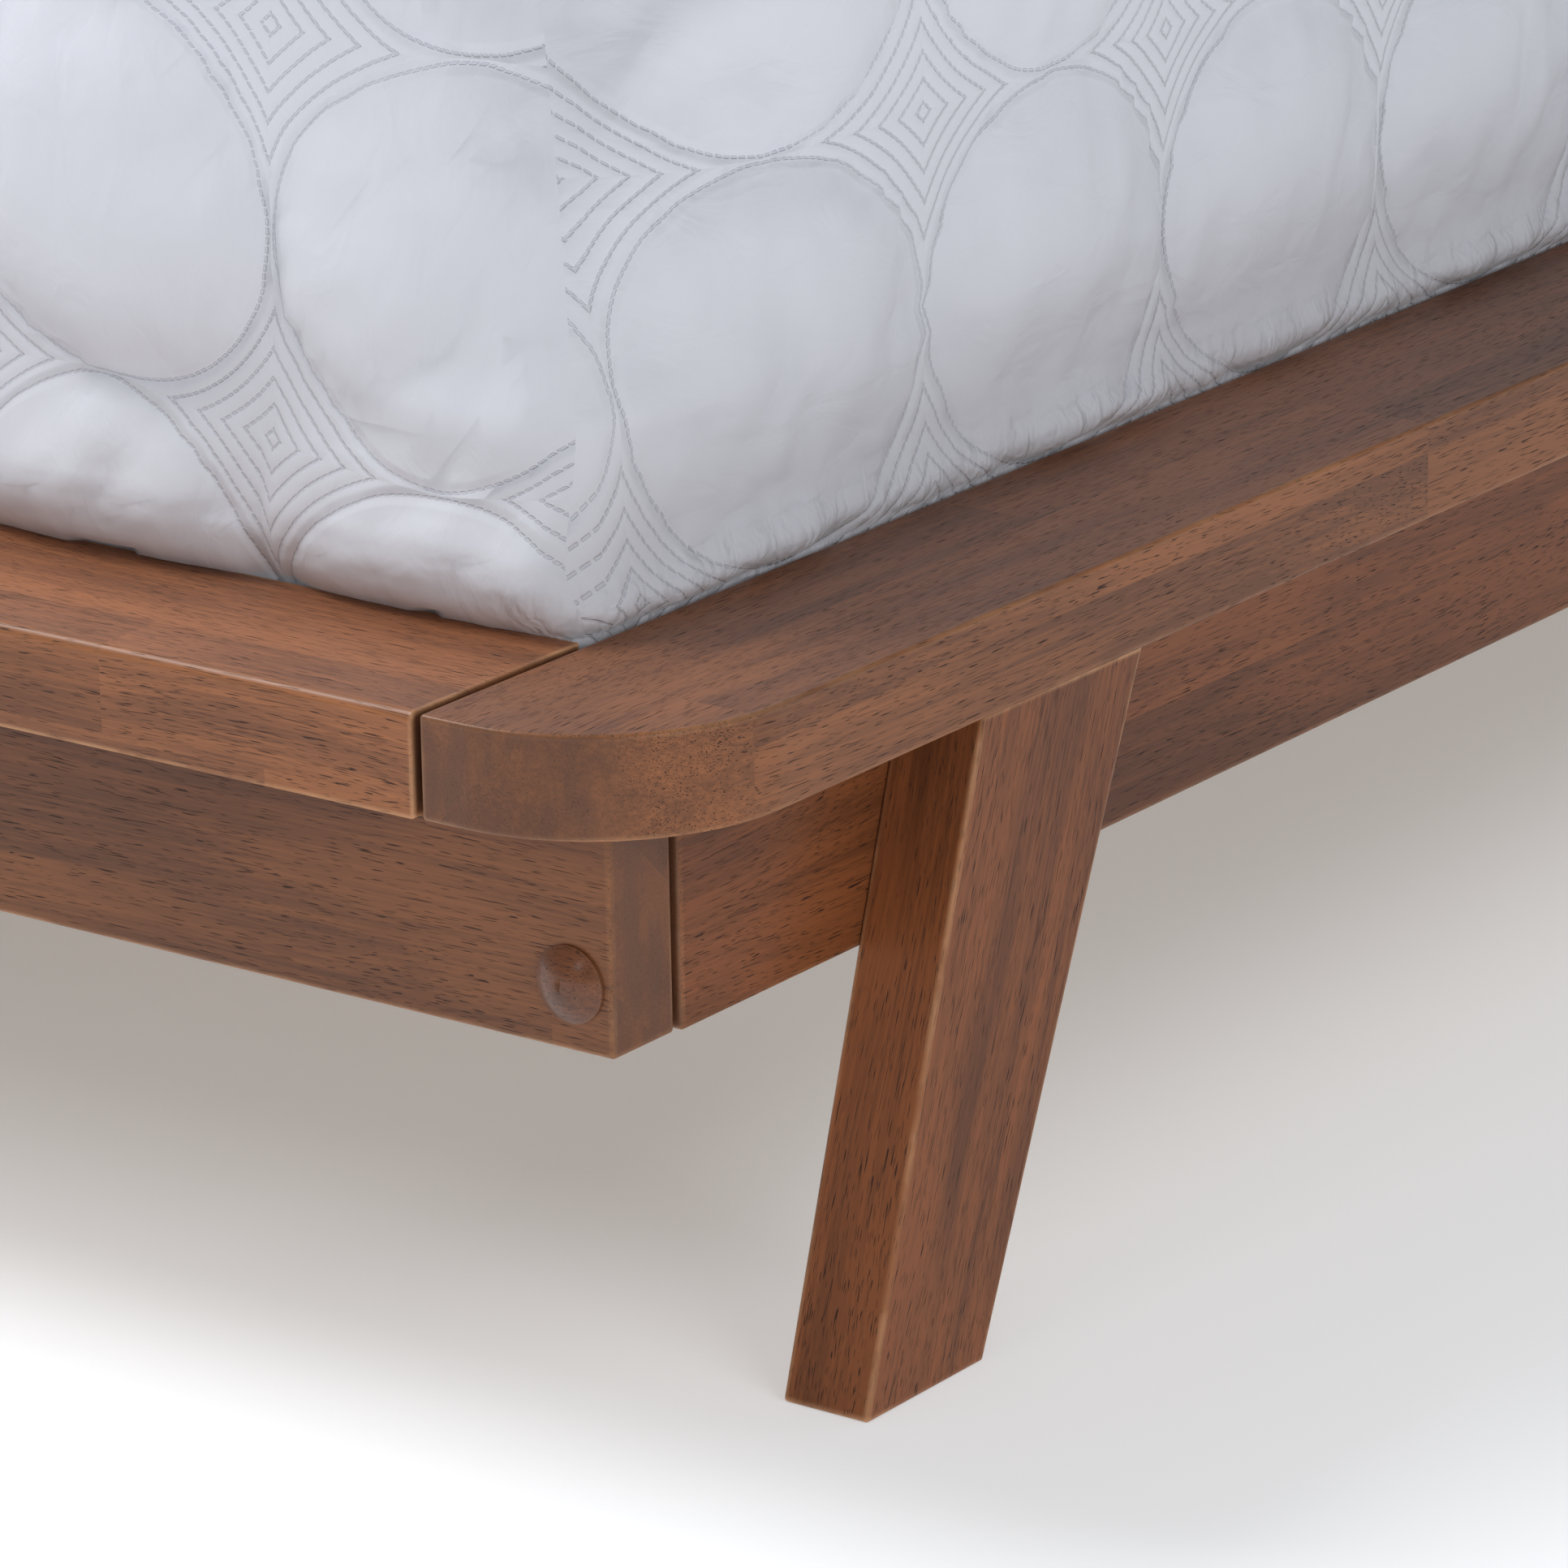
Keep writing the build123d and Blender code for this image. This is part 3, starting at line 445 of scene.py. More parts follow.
LEG_LEAN = 20.0
STAINED_BOARDS = {  # grain direction, tone, and how far the edges are rubbed through and painted with a highlight
    "foot_ledge": (ALONG_X, 1.12, 0.85),
    "head_ledge": (ALONG_X, 1.0, 0.4),
    "side_ledge_left": (ALONG_Y, 0.98, 0.35),
    # the right side ledge's lower tone is partly a painted shade: the mattress shades its top
    "side_ledge_right": (ALONG_Y, 0.90, 0.35),
    "foot_rail": (ALONG_X, 0.70, 0.45),
    "head_rail": (ALONG_X, 0.75, 0.4),
    "side_rail_left": (ALONG_Y, 0.76, 0.35),
    "side_rail_right": (ALONG_Y, 0.74, 0.35),
    "leg_foot_left": (leg_turn(LEG_LEAN), 0.92, 0.8),
    "leg_foot_right": (leg_turn(LEG_LEAN), 0.93, 0.9),
    "leg_head_left": (leg_turn(-LEG_LEAN), 0.92, 0.7),
    "leg_head_right": (leg_turn(-LEG_LEAN), 0.94, 0.7),
    "headboard_upright_left": (ALONG_Z, 0.84, 0.4),
    "headboard_upright_right": (ALONG_Z, 0.86, 0.4),
    "headboard_board_lower": (ALONG_X, 0.92, 0.4),
    "headboard_board_middle": (ALONG_X, 0.95, 0.4),
    "headboard_board_upper": (ALONG_X, 0.90, 0.5),
    "bolt_caps": (ALONG_X, 0.72, 0.1),
}
for seed, (board, (turn, tone, worn_and_highlit)) in enumerate(STAINED_BOARDS.items(), start=1):
    colors = RED_STAIN if board.startswith(("side_rail", "leg", "bolt")) else STAIN
    coat = 0.55 if board == "bolt_caps" else 0.10
    dress(board, wood_material(f"stain_{board}", colors, turn, float(seed), tone, 0.5, worn_and_highlit, coat))

PALE_BOARDS = {name: ALONG_X for name in NODES if name.startswith("slat_") and name[-1].isdigit()}
LENGTHWISE = ("slat_cleat_left", "slat_cleat_right", "centre_beam", "corner_dowels")
PALE_BOARDS.update({name: ALONG_Y for name in LENGTHWISE})
PALE_BOARDS.update({name: ALONG_Z for name in NODES if name.startswith("centre_post_")})
for seed, (board, turn) in enumerate(PALE_BOARDS.items(), start=40):
    dress(board, wood_material(f"pale_{board}", PALE, turn, float(seed), 1.0, 0.1, 0.2, 0.0, 0.55))
print("wood on", len(STAINED_BOARDS) + len(PALE_BOARDS), "pieces")

# %% [markdown]
# ## Steel and plastic
# The bolts, screws and hangers are zinc plated: bright, a little cloudy, and paler along their edges,
# as wear and a painted highlight. The levellers' pads are moulded plastic with a faint pebbled skin.

# %% Hardware materials


def make_zinc():
    material, tree, shader = new_material("zinc_plate", Metallic=1.0)
    place = object_place(tree)
    cloud = noise(tree, place, 90.0, 4.0, 0.6)
    color = blend_colors(tree, cloud, (0.50, 0.50, 0.49, 1), (0.68, 0.68, 0.70, 1))
    wear_and_highlight = put(tree, "ShaderNodeGroup", {"node_tree": WEAR_AND_HIGHLIGHT}, Place=place, Width=0.0006).outputs[0]
    # paler edges: wear, and a painted highlight from the shared edge mask
    color = blend_colors(tree, times(tree, wear_and_highlight, 0.5), color, (0.82, 0.82, 0.84, 1))
    feed(tree, shader, Base_Color=color, Roughness=ramp(tree, cloud, 0.2, 0.8, 0.28, 0.46))
    scratches = noise(tree, place, (60.0, 60.0, 2200.0), 2.0)
    add_bump(tree, shader, times(tree, scratches, 0.00001), 0.4)
    return material


def make_pad_plastic():
    material, tree, shader = new_material("pad_plastic", Specular_IOR_Level=0.45)
    place = object_place(tree)
    pebble = noise(tree, place, 1800.0, 1.0)
    dust = ramp(tree, noise(tree, place, 70.0, 3.0), 0.45, 0.75, 0.0, 0.35)
    color = blend_colors(tree, dust, (0.018, 0.018, 0.019, 1), (0.09, 0.085, 0.08, 1))
    feed(tree, shader, Base_Color=color, Roughness=ramp(tree, pebble, 0.3, 0.7, 0.48, 0.64))
    add_bump(tree, shader, times(tree, pebble, 0.00004), 0.5)
    return material


ZINC = make_zinc()
PAD_PLASTIC = make_pad_plastic()
STEEL_ENDINGS = ("_bolts", "_screws", "_nuts", "_inserts")
STEEL_STARTS = ("beam_hanger", "leveller_stem")
METAL_PIECES = [name for name in NODES if name.endswith(STEEL_ENDINGS) or name.startswith(STEEL_STARTS)]
for name in METAL_PIECES:
    dress(name, ZINC)
for name in NODES:
    if name.startswith("leveller_pad"):
        dress(name, PAD_PLASTIC)
print("steel on", len(METAL_PIECES), "pieces")

# %% [markdown]
# ## The quilting's lattice
# The coverlet is stitched in circles that touch each other in a square lattice. Between four
# circles, lines of stitching follow the circles' outlines at equal steps until they close into
# a small diamond. All of it comes from two numbers on the flat cloth, u and v: the distance
# from the nearest circle's centre, and how far outside the circle a point is. The same function
# builds those numbers in a material and in Geometry Nodes, so the two always line up.

# %% The lattice as nodes
PITCH = 0.139
CIRCLE_RADIUS = 0.0685
ECHO_STEP = 0.0055


def lattice(tree, u, v):
    """Distance from the nearest circle's centre, distance outside its outline, and the angle."""

    def from_centre(value):
        part = calc(tree, "FRACT", plus(tree, calc(tree, "DIVIDE", value, PITCH), 0.5))
        return swing(tree, part, PITCH)

    a, b = from_centre(u), from_centre(v)
    squares = plus(tree, times(tree, a, a), times(tree, b, b))
    distance = calc(tree, "SQRT", squares)
    return distance, minus(tree, distance, CIRCLE_RADIUS), calc(tree, "ARCTAN2", b, a)


print("circles of", 2 * CIRCLE_RADIUS, "m on a pitch of", PITCH, "m")

# %% [markdown]
# ## The coverlet's shape
# A coverlet could be dropped on the mattress by a long simulation, but this one is tucked in
# tight all round, so its shape follows a rule: a box with rounded top edges, whose corners draw
# in as they rise, and a small roll where the cloth turns down into the gap beside the ledge.
# The mesh is a box of five grids. Their shared edges are at the corners, so that the lattice of
# each side can meet the next one's at the fold, as cloth does.

# %% The coverlet's rule
CIRCLE_X = NEAR_CORNER.x - 0.148  # the line of circles nearest the side
CIRCLE_Y = NEAR_CORNER.y + 0.344  # a line of circles across the bed
GRID_STEP = 0.0086
TOP_RADIUS = 0.036
CORNER_RADIUS = (0.008, 0.040)  # in plan, at the ledge and at the top
CORNER_REACH = 0.19  # how far along a side the corner draws in
CORNER_HEIGHTS = (0.0, 0.068, 0.139, 0.205, 0.299)
CORNER_DRAW = (0.0015, 0.006, 0.024, 0.050, 0.058)  # how far in, at those heights above the ledge
CORNER_RISE = 0.15  # the corner's radius grows up to this height
BELLY = 0.004  # how far the walls swell at half their height
PILLOW = 0.0135  # how far the foot's lowest circles push out over the ledge
PILLOW_HEIGHTS = (0.0, 0.003, 0.009, 0.017, 0.026, 0.042, 0.062)
PILLOW_SHARES = (0.0, 0.40, 0.80, 1.0, 0.95, 0.50, 0.0)
PILLOW_EDGE = 0.22  # the share of that push left between two circles
PILLOW_UNEVEN = 0.10
ROLL = 0.0055  # the hem's roll along the sides
ROLL_HEIGHTS = (0.0, 0.003, 0.007, 0.011, 0.016, 0.024)
ROLL_SHARES = (0.0, 0.60, 1.0, 0.85, 0.30, 0.0)
ROLL_UNEVEN = 0.38
HELD_HEIGHT = 0.010  # the cloth is tucked in tight below this
ROLL_STEP = 0.0029
HEM_DEPTH = coverlet_low.z
MIDDLE_Y = (coverlet_low.y + coverlet_high.y) / 2
HALF_X = coverlet_high.x
HALF_Y = (coverlet_high.y - coverlet_low.y) / 2
TOP_Z = coverlet_high.z - 0.004


def grid_lines(half, step):
    """Evenly spaced values from -half to half, near that step."""
    count = round(2 * half / step)
    return np.linspace(-half, half, count + 1)


def height_lines():
    """Heights of the walls' rows: close together in the roll at the ledge, wider above."""
    low = np.linspace(HEM_DEPTH, LEDGE_TOP - 0.002, 4)
    roll = np.arange(LEDGE_TOP, LEDGE_TOP + 0.030, ROLL_STEP)
    start = roll[-1] + 1.6 * ROLL_STEP
    high = np.linspace(start, TOP_Z, round((TOP_Z - start) / GRID_STEP) + 1)
    return np.concatenate([low, roll, high])


def drawn_in(x, y, z):
    """How far a point moves in towards the middle, on both axes, because the corners draw in."""
    from_corner = (HALF_X - np.abs(x)) + (HALF_Y - np.abs(y))
    share = np.clip(1 - from_corner / CORNER_REACH, 0, 1) ** 2
    return share * np.interp(z - LEDGE_TOP, CORNER_HEIGHTS, CORNER_DRAW)


def smooth_noise(x, y, waves, shortest, longest, seed):
    """A gentle random surface: a sum of a few sine waves in random directions."""
    source = np.random.default_rng(seed)
    total = np.zeros_like(x)
    for _ in range(waves):
        angle, phase = source.uniform(0, 2 * np.pi, 2)
        length = source.uniform(shortest, longest)
        total += np.sin((x * np.cos(angle) + y * np.sin(angle)) * 2 * np.pi / length + phase)
    return total / math.sqrt(waves)


def smooth_box(x, y, z):
    """Points of a plain box moved onto the coverlet's smooth body."""
    rise = np.clip((z - LEDGE_TOP) / CORNER_RISE, 0, 1)
    plan = CORNER_RADIUS[0] + (CORNER_RADIUS[1] - CORNER_RADIUS[0]) * rise
    radius = np.stack([plan, plan, np.full_like(plan, TOP_RADIUS)], 1)
    core_x = np.clip(x, plan - HALF_X, HALF_X - plan)
    core_y = np.clip(y, plan - HALF_Y, HALF_Y - plan)
    core = np.stack([core_x, core_y, np.minimum(z, TOP_Z - TOP_RADIUS)], 1)
    out = (np.stack([x, y, z], 1) - core) / radius
    length = np.linalg.norm(out, axis=1, keepdims=True)
    point = core + out / np.maximum(length, 1e-9) * radius
    move = drawn_in(x, y, z)
    point[:, 0] -= np.sign(x) * move
    point[:, 1] -= np.sign(y) * move
    point[:, 1] += MIDDLE_Y
    return point


def coverlet_points(x, y, z):
    """The coverlet's resting place: the smooth body, with its hem roll and lowest pillows."""
    point = smooth_box(x, y, z)
    above = z - LEDGE_TOP
    on_side = np.abs(np.abs(x) - HALF_X) < 1e-6
    on_end = np.abs(np.abs(y) - HALF_Y) < 1e-6
    belly = BELLY * np.sin(np.pi * np.clip(above / (TOP_Z - LEDGE_TOP), 0, 1))
    pucker = 1.0 + ROLL_UNEVEN * smooth_noise(y, above * 0.4, 12, 0.026, 0.09, 5)
    roll = ROLL * np.interp(above, ROLL_HEIGHTS, ROLL_SHARES) * pucker
    point[:, 0] += np.sign(x) * on_side * (roll + belly)
    from_circle = ((x - CIRCLE_X) / PITCH + 0.5) % 1 - 0.5
    dome = np.sqrt(np.clip(1 - (2 * from_circle) ** 2, 0, 1))
    cushion = PILLOW_EDGE + (1 - PILLOW_EDGE) * dome
    swell = PILLOW * np.interp(above, PILLOW_HEIGHTS, PILLOW_SHARES) * cushion
    swell *= 1.0 + PILLOW_UNEVEN * smooth_noise(x, above, 8, 0.03, 0.12, 9)
    point[:, 1] += np.sign(y) * on_end * (swell + belly)
    return point


XS, YS, ZS = grid_lines(HALF_X, GRID_STEP), grid_lines(HALF_Y, GRID_STEP), height_lines()
print("coverlet grid", len(XS), "by", len(YS), "by", len(ZS))

# %% [markdown]
# ## The cloth's own coordinates
# Each point of the cloth needs u and v, its place on the flat sheet. On the top they are simply
# x and y. Down a wall they keep counting along the surface, so that the circles carry on over
# the edge at their true size. Near a corner the cloth is pulled a little, which widens the last
# circle there.

# %% Build the coverlet's mesh
def walked(points, axis):
    """Distance walked along rows of points, from the row's middle."""
    steps = np.linalg.norm(np.diff(points, axis=axis), axis=2)
    total = np.concatenate([np.zeros_like(np.take(steps, [0], axis)), np.cumsum(steps, axis)], axis)
    middle = np.take(total, [total.shape[axis] // 2], axis)
    return total - middle


def wall_coordinates(points, base, pull, widened, slid, sign):
    """(across, down) of a wall. base is the edge's own coordinate, sign the side it is on."""
    along = walked(points, 0)
    from_corner = np.abs(along).max(0, keepdims=True) - np.abs(along)
    near_corner = np.clip(CORNER_REACH - from_corner, 0, None)
    along -= np.sign(along) * near_corner * (1 - 1 / widened)
    steps = np.linalg.norm(np.diff(points, axis=1), axis=2)
    below = np.cumsum(steps[:, ::-1], 1)[:, ::-1]
    below = np.concatenate([below, np.zeros_like(below[:, :1])], 1)
    below -= (pull + np.interp(from_corner, SLIDE_AT, slid)) * np.clip(below / PULL_FADE, 0, 1)
    return along, sign * (base + below)


def around(grid):
    """The four corners of every cell of a grid."""
    return np.stack([grid[:-1, :-1], grid[1:, :-1], grid[1:, 1:], grid[:-1, 1:]], 2)


SIDE_PULL = 0.0023  # cloth drawn up over the top edge, which sets the height of the rows
END_PULL = 0.0113
PULL_FADE = 0.12  # the pull grows to its full size this far down
SIDE_WIDENED = 1.16  # the last circle of a side is pulled wide at the corner
SLIDE_AT = (0.0, 0.06, 0.20, 0.34, 0.60)  # distances from the corner
END_SLIDE = (0.015, 0.010, -0.015, -0.011, 0.0)  # how far down the cloth has slid there
SIDE_SLIDE = (0.0,) * len(SLIDE_AT)  # none along the sides


def coverlet_grids():
    """The points of a plain box, and its top, sides and ends as grids of point numbers."""
    nx, ny, nz = len(XS), len(YS), len(ZS)
    index, corners = {}, []

    def number(i, j, k):
        if (i, j, k) not in index:
            index[i, j, k] = len(corners)
            corners.append((XS[i], YS[j], ZS[k]))
        return index[i, j, k]

    top = [[number(i, j, nz - 1) for j in range(ny)] for i in range(nx)]
    sides, ends = {}, {}
    for s, i, j in ((-1, 0, 0), (1, nx - 1, ny - 1)):
        sides[s] = np.array([[number(i, across, k) for k in range(nz)] for across in range(ny)])
        ends[s] = np.array([[number(across, j, k) for k in range(nz)] for across in range(nx)])
    return np.array(corners), np.array(top), sides, ends


def grid_faces(grid, u, v, flip):
    """A grid's quads, and the flat cloth's coordinates at their corners."""
    quads = around(grid).reshape(-1, 4)
    quad_uv = around(np.stack([u, v], 2)).reshape(-1, 4, 2)
    return (quads[:, ::-1], quad_uv[:, ::-1]) if flip else (quads, quad_uv)


def coverlet_faces(smooth, top, sides, ends):
    """All the quads and their coordinates, measured on the smooth body."""
    us, vs = np.meshgrid(XS, YS + MIDDLE_Y, indexing="ij")
    parts = [grid_faces(top, us, vs, False)]
    for s, grid in sides.items():
        pull = SIDE_PULL, SIDE_WIDENED, SIDE_SLIDE
        along, down = wall_coordinates(smooth[grid], HALF_X, *pull, s)
        parts.append(grid_faces(grid, down, along + MIDDLE_Y, s < 0))
    for s, grid in ends.items():
        along, down = wall_coordinates(smooth[grid], HALF_Y, END_PULL, 1.0, END_SLIDE, s)
        parts.append(grid_faces(grid, along, down + MIDDLE_Y, s > 0))
    quads, uvs = [np.concatenate(part) for part in zip(*parts)]
    return quads, uvs.reshape(-1, 2) - np.array([CIRCLE_X, CIRCLE_Y])


print("the side's cloth is pulled up", SIDE_PULL, "m and the end's", END_PULL, "m")

# %% [markdown]
# The mesh keeps the flat coordinates twice: as a UV map for the material, and as one pair for
# each point for the steps that move points. The four folds are marked, so that those steps
# leave them alone.

# %% Make the coverlet


def point_coordinates(mesh, flat_uv, crease):
    """The UVs again, one pair for each point, for the steps that move points."""
    owner = np.zeros(len(mesh.loops), int)
    mesh.loops.foreach_get("vertex_index", owner)
    values = {"crease": crease}
    for name, column in (("cloth_u", 0), ("cloth_v", 1)):
        per_point = np.zeros(len(mesh.vertices))
        per_point[owner] = flat_uv[:, column]
        values[name] = per_point
    return values


def make_coverlet_mesh():
    """A mesh of five grids that share their edges, with the flat cloth's coordinates as its UVs."""
    corners, top, sides, ends = coverlet_grids()
    place = coverlet_points(*corners.T)
    quads, flat_uv = coverlet_faces(smooth_box(*corners.T), top, sides, ends)
    crease = np.ones(len(corners))
    for grid in sides.values():
        crease[grid[[0, -1]]] = 0
    mesh = bpy.data.meshes.new("coverlet")
    mesh.from_pydata(place.tolist(), [], quads.tolist())
    layer = mesh.uv_layers.new(name="cloth")
    layer.data.foreach_set("uv", flat_uv.ravel().astype(np.float32))
    mesh.polygons.foreach_set("use_smooth", np.ones(len(quads), bool))
    for name, values in point_coordinates(mesh, flat_uv, crease).items():
        mesh.attributes.new(name, "FLOAT", "POINT").data.foreach_set("value", values.astype(np.float32))
    mesh.update()
    return mesh


coverlet = new_object("quilted_coverlet", make_coverlet_mesh())
print("coverlet mesh:", len(coverlet.data.vertices), "points,", len(coverlet.data.polygons), "quads")

# %% [markdown]
# ## Filling the circles
# Real quilting puffs up because wadding pushes the cloth out wherever it isn't stitched down.
# The Cloth simulation does the same: points on the stitched lines are pinned, the rest of the
# cloth is cut a little large, and pressure pushes it out until it is taut. The wrinkles come
# with it. A cap keeps any one point from going too far.

# %% Simulate the puffs
PUFF_CAP = 0.0095
PUFF_FRAMES = 16
HELD_RIM = 0.006  # inside a circle's outline, the hold fades out over this
HELD_FADE = 0.045  # and above the tucked hem over this
CLOTH_SETTINGS = {
    "shrink_min": -0.022,
    "use_pressure": True,
    "uniform_pressure_force": 6.0,
    "quality": 4,
    "mass": 0.2,
    "tension_stiffness": 20,
    "compression_stiffness": 20,
    "bending_stiffness": 0.2,
}


def points_of(mesh):
    flat = np.zeros(len(mesh.vertices) * 3)
    mesh.vertices.foreach_get("co", flat)
    return flat.reshape(-1, 3)


def move_points(mesh, points):
    mesh.vertices.foreach_set("co", points.ravel().astype(np.float32))
    mesh.update()


def attribute_of(mesh, name):
    values = np.zeros(len(mesh.vertices))
    mesh.attributes[name].data.foreach_get("value", values)
    return values


def outside_circle(mesh):
    """How far each point is outside the nearest circle; negative inside it."""
    a = (attribute_of(mesh, "cloth_u") / PITCH + 0.5) % 1 - 0.5
    b = (attribute_of(mesh, "cloth_v") / PITCH + 0.5) % 1 - 0.5
    return np.hypot(a, b) * PITCH - CIRCLE_RADIUS


def pin_stitches(piece, rest):
    """Holds the stitched lines, the tucked hem and the folds, in a vertex group."""
    held = np.clip(1 + outside_circle(piece.data) / HELD_RIM, 0, 1)
    above = rest[:, 2] - LEDGE_TOP - HELD_HEIGHT
    held = np.maximum(held, np.clip(1 - above / HELD_FADE, 0, 1))
    held = np.maximum(held, 1 - attribute_of(piece.data, "crease"))
    pins = piece.vertex_groups.new(name="stitched")
    for level in np.unique(np.round(held, 1)):
        if level > 0:
            pins.add(np.flatnonzero(np.round(held, 1) == level).tolist(), float(level), "REPLACE")
    return pins


def inflate(piece):
    """Lets pressure fill the circles, with everything else pinned."""
    rest = points_of(piece.data)
    pins = pin_stitches(piece, rest)
    cloth = piece.modifiers.new("puff", "CLOTH")
    for setting, value in CLOTH_SETTINGS.items():
        setattr(cloth.settings, setting, value)
    cloth.settings.vertex_group_mass = pins.name
    cloth.settings.effector_weights.gravity = 0.0
    cloth.collision_settings.use_collision = False
    cloth.point_cache.frame_end = PUFF_FRAMES
    for step in range(1, PUFF_FRAMES + 1):
        bpy.context.scene.frame_set(step)
    settled = piece.evaluated_get(bpy.context.evaluated_depsgraph_get()).to_mesh()
    moved = points_of(settled)
    piece.modifiers.remove(cloth)
    piece.vertex_groups.clear()
    bpy.context.scene.frame_set(1)
    move = moved - rest
    length = np.linalg.norm(move, axis=1)
    average, most = float(length.mean()) * 1000, float(length.max()) * 1000
    print("puff: average", round(average, 2), "mm, most", round(most, 2), "mm")
    limit = np.where(length > 1e-9, np.minimum(1, PUFF_CAP / np.maximum(length, 1e-9)), 1)
    move_points(piece.data, rest + move * limit[:, None])


inflate(coverlet)

# %% [markdown]
# ## Seams and echo quilting
# The stitched outlines pull the cloth down into a narrow valley, and the ground between the
# circles lies a little lower. That relief follows the lattice everywhere, so Geometry Nodes
# make it: each point moves along its normal by an amount that depends on its place.

# %% Quilting as Geometry Nodes


def start_tree(name, inputs):
    """A Geometry Nodes tree that takes a geometry, its own inputs and a finish."""
    ends = ("NodeSocketGeometry", None), ("NodeSocketMaterial", None)
    inputs = {"Geometry": ends[0], **inputs, "Finish": ends[1]}
    return new_group(name, "GeometryNodeTree", inputs, {"Geometry": "NodeSocketGeometry"})


def finish_tree(tree, given, result, geometry):
    """Ends a Geometry Nodes tree: its geometry is made real and takes the finish."""
    real = put(tree, "GeometryNodeRealizeInstances", Geometry=geometry).outputs[0]
    finish = given.outputs["Finish"]
    finished = put(tree, "GeometryNodeSetMaterial", Geometry=real, Material=finish).outputs[0]
    tree.links.new(finished, result.inputs["Geometry"])
    return tree


def make_relief_tree():
    inputs = {
        "Puff": (FLOAT, 0.004),
        "Seam Depth": (FLOAT, 0.0013),
        "Seam Width": (FLOAT, 0.006),
        "Ripple": (FLOAT, 0.0012),
    }
    tree, given, result = start_tree("quilt_relief", inputs)

    def stored(name):
        settings = {"data_type": "FLOAT"}
        return put(tree, "GeometryNodeInputNamedAttribute", settings, Name=name).outputs[0]

    u, v, open_cloth = stored("cloth_u"), stored("cloth_v"), stored("crease")
    distance, outside, _ = lattice(tree, u, v)
    share = calc(tree, "POWER", calc(tree, "DIVIDE", distance, CIRCLE_RADIUS), 2.0)
    inside = calc(tree, "MAXIMUM", minus(tree, 1.0, share), 0.0)
    dome = times(tree, calc(tree, "POWER", inside, 0.6), given.outputs["Puff"])
    across_seam = calc(tree, "DIVIDE", outside, given.outputs["Seam Width"])
    squared = times(tree, across_seam, across_seam)
    valley = calc(tree, "POWER", math.e, times(tree, -1.0, squared))
    seam = times(tree, valley, given.outputs["Seam Depth"])
    flat = put(tree, "ShaderNodeCombineXYZ", X=u, Y=v, Z=0.0).outputs[0]
    folds = noise(tree, flat, (34.0, 13.0, 1.0), 2.0, 0.5, 0.6)
    ripple = swing(tree, folds, times(tree, 2.0, given.outputs["Ripple"]))
    total = plus(tree, minus(tree, dome, seam), ripple)
    total = times(tree, total, open_cloth)
    normal = put(tree, "GeometryNodeInputNormal").outputs[0]
    offset = vector_calc(tree, "SCALE", normal, Scale=total)
    cloth = given.outputs["Geometry"]
    moved = put(tree, "GeometryNodeSetPosition", Geometry=cloth, Offset=offset).outputs[0]
    return finish_tree(tree, given, result, moved)


def apply_tree(piece, tree, **values):
    """Runs a Geometry Nodes tree on a piece, with its inputs set by name, and keeps the result."""
    modifier = piece.modifiers.new(tree.name, "NODES")
    modifier.node_group = tree
    for item in tree.interface.items_tree:
        if item.in_out == "INPUT" and item.name.replace(" ", "_") in values:
            modifier[item.identifier] = values[item.name.replace(" ", "_")]
    depsgraph = bpy.context.evaluated_depsgraph_get()
    made = bpy.data.meshes.new_from_object(piece.evaluated_get(depsgraph), depsgraph=depsgraph)
    piece.modifiers.remove(modifier)
    old, piece.data = piece.data, made
    bpy.data.meshes.remove(old)
    made.name = piece.name
    return piece


# %% [markdown]
# ## Sateen
# The cloth is smooth white sateen. Up close three things show: the thread of the stitches in
# short dashes, the small ridges that the echo quilting raises, and a fine weave. They are all
# heights for one Bump node, and the stitches also tint the colour, because each pulls the cloth
# into a tiny shadowed dimple.

# %% Coverlet material


def make_stitch_group():
    """Stitches and ridges of the quilting, from the cloth's own u and v."""
    tree, given, result = new_group(
        "quilt_stitches",
        "ShaderNodeTree",
        {"Cloth": (VECTOR, None), "Stitch Length": (FLOAT, 0.0032), "Thread": (FLOAT, 0.00028)},
        {"Stitches": FLOAT, "Height": FLOAT},
    )
    split = put(tree, "ShaderNodeSeparateXYZ", Vector=given.outputs["Cloth"])
    waver = noise(tree, given.outputs["Cloth"], 22.0, 1.0)
    u = plus(tree, split.outputs[0], swing(tree, waver, 0.004))
    distance, outside, angle = lattice(tree, u, split.outputs[1])
    steps = calc(tree, "DIVIDE", outside, ECHO_STEP)
    nearest = calc(tree, "ROUND", steps)
    part_step = calc(tree, "ABSOLUTE", minus(tree, steps, nearest))
    from_line = times(tree, part_step, ECHO_STEP)
    ground = calc(tree, "GREATER_THAN", outside, -0.4 * ECHO_STEP)
    thread = given.outputs["Thread"]
    line = ramp(tree, from_line, thread, times(tree, thread, 2.0), 1.0, 0.0)
    line = times(tree, line, ground)
    walked_round = times(tree, angle, distance)
    travelled = calc(tree, "DIVIDE", walked_round, given.outputs["Stitch Length"])
    dash = ramp(tree, calc(tree, "PINGPONG", travelled, 0.5), 0.12, 0.2)
    stitches = times(tree, line, dash)
    ridge = calc(tree, "SINE", times(tree, calc(tree, "FRACT", steps), math.pi))
    beyond = calc(tree, "GREATER_THAN", outside, 0.0)
    ridge = times(tree, calc(tree, "POWER", ridge, 0.7), beyond)
    dimples = times(tree, stitches, 0.0003)
    height = minus(tree, times(tree, ridge, 0.0004), dimples)
    outline = calc(tree, "ABSOLUTE", outside)
    pull = ramp(tree, outline, 0.0, 0.0035, 0.0006, 0.0)
    height = minus(tree, height, pull)
    tree.links.new(stitches, result.inputs["Stitches"])
    tree.links.new(height, result.inputs["Height"])
    return tree


STITCHES = make_stitch_group()


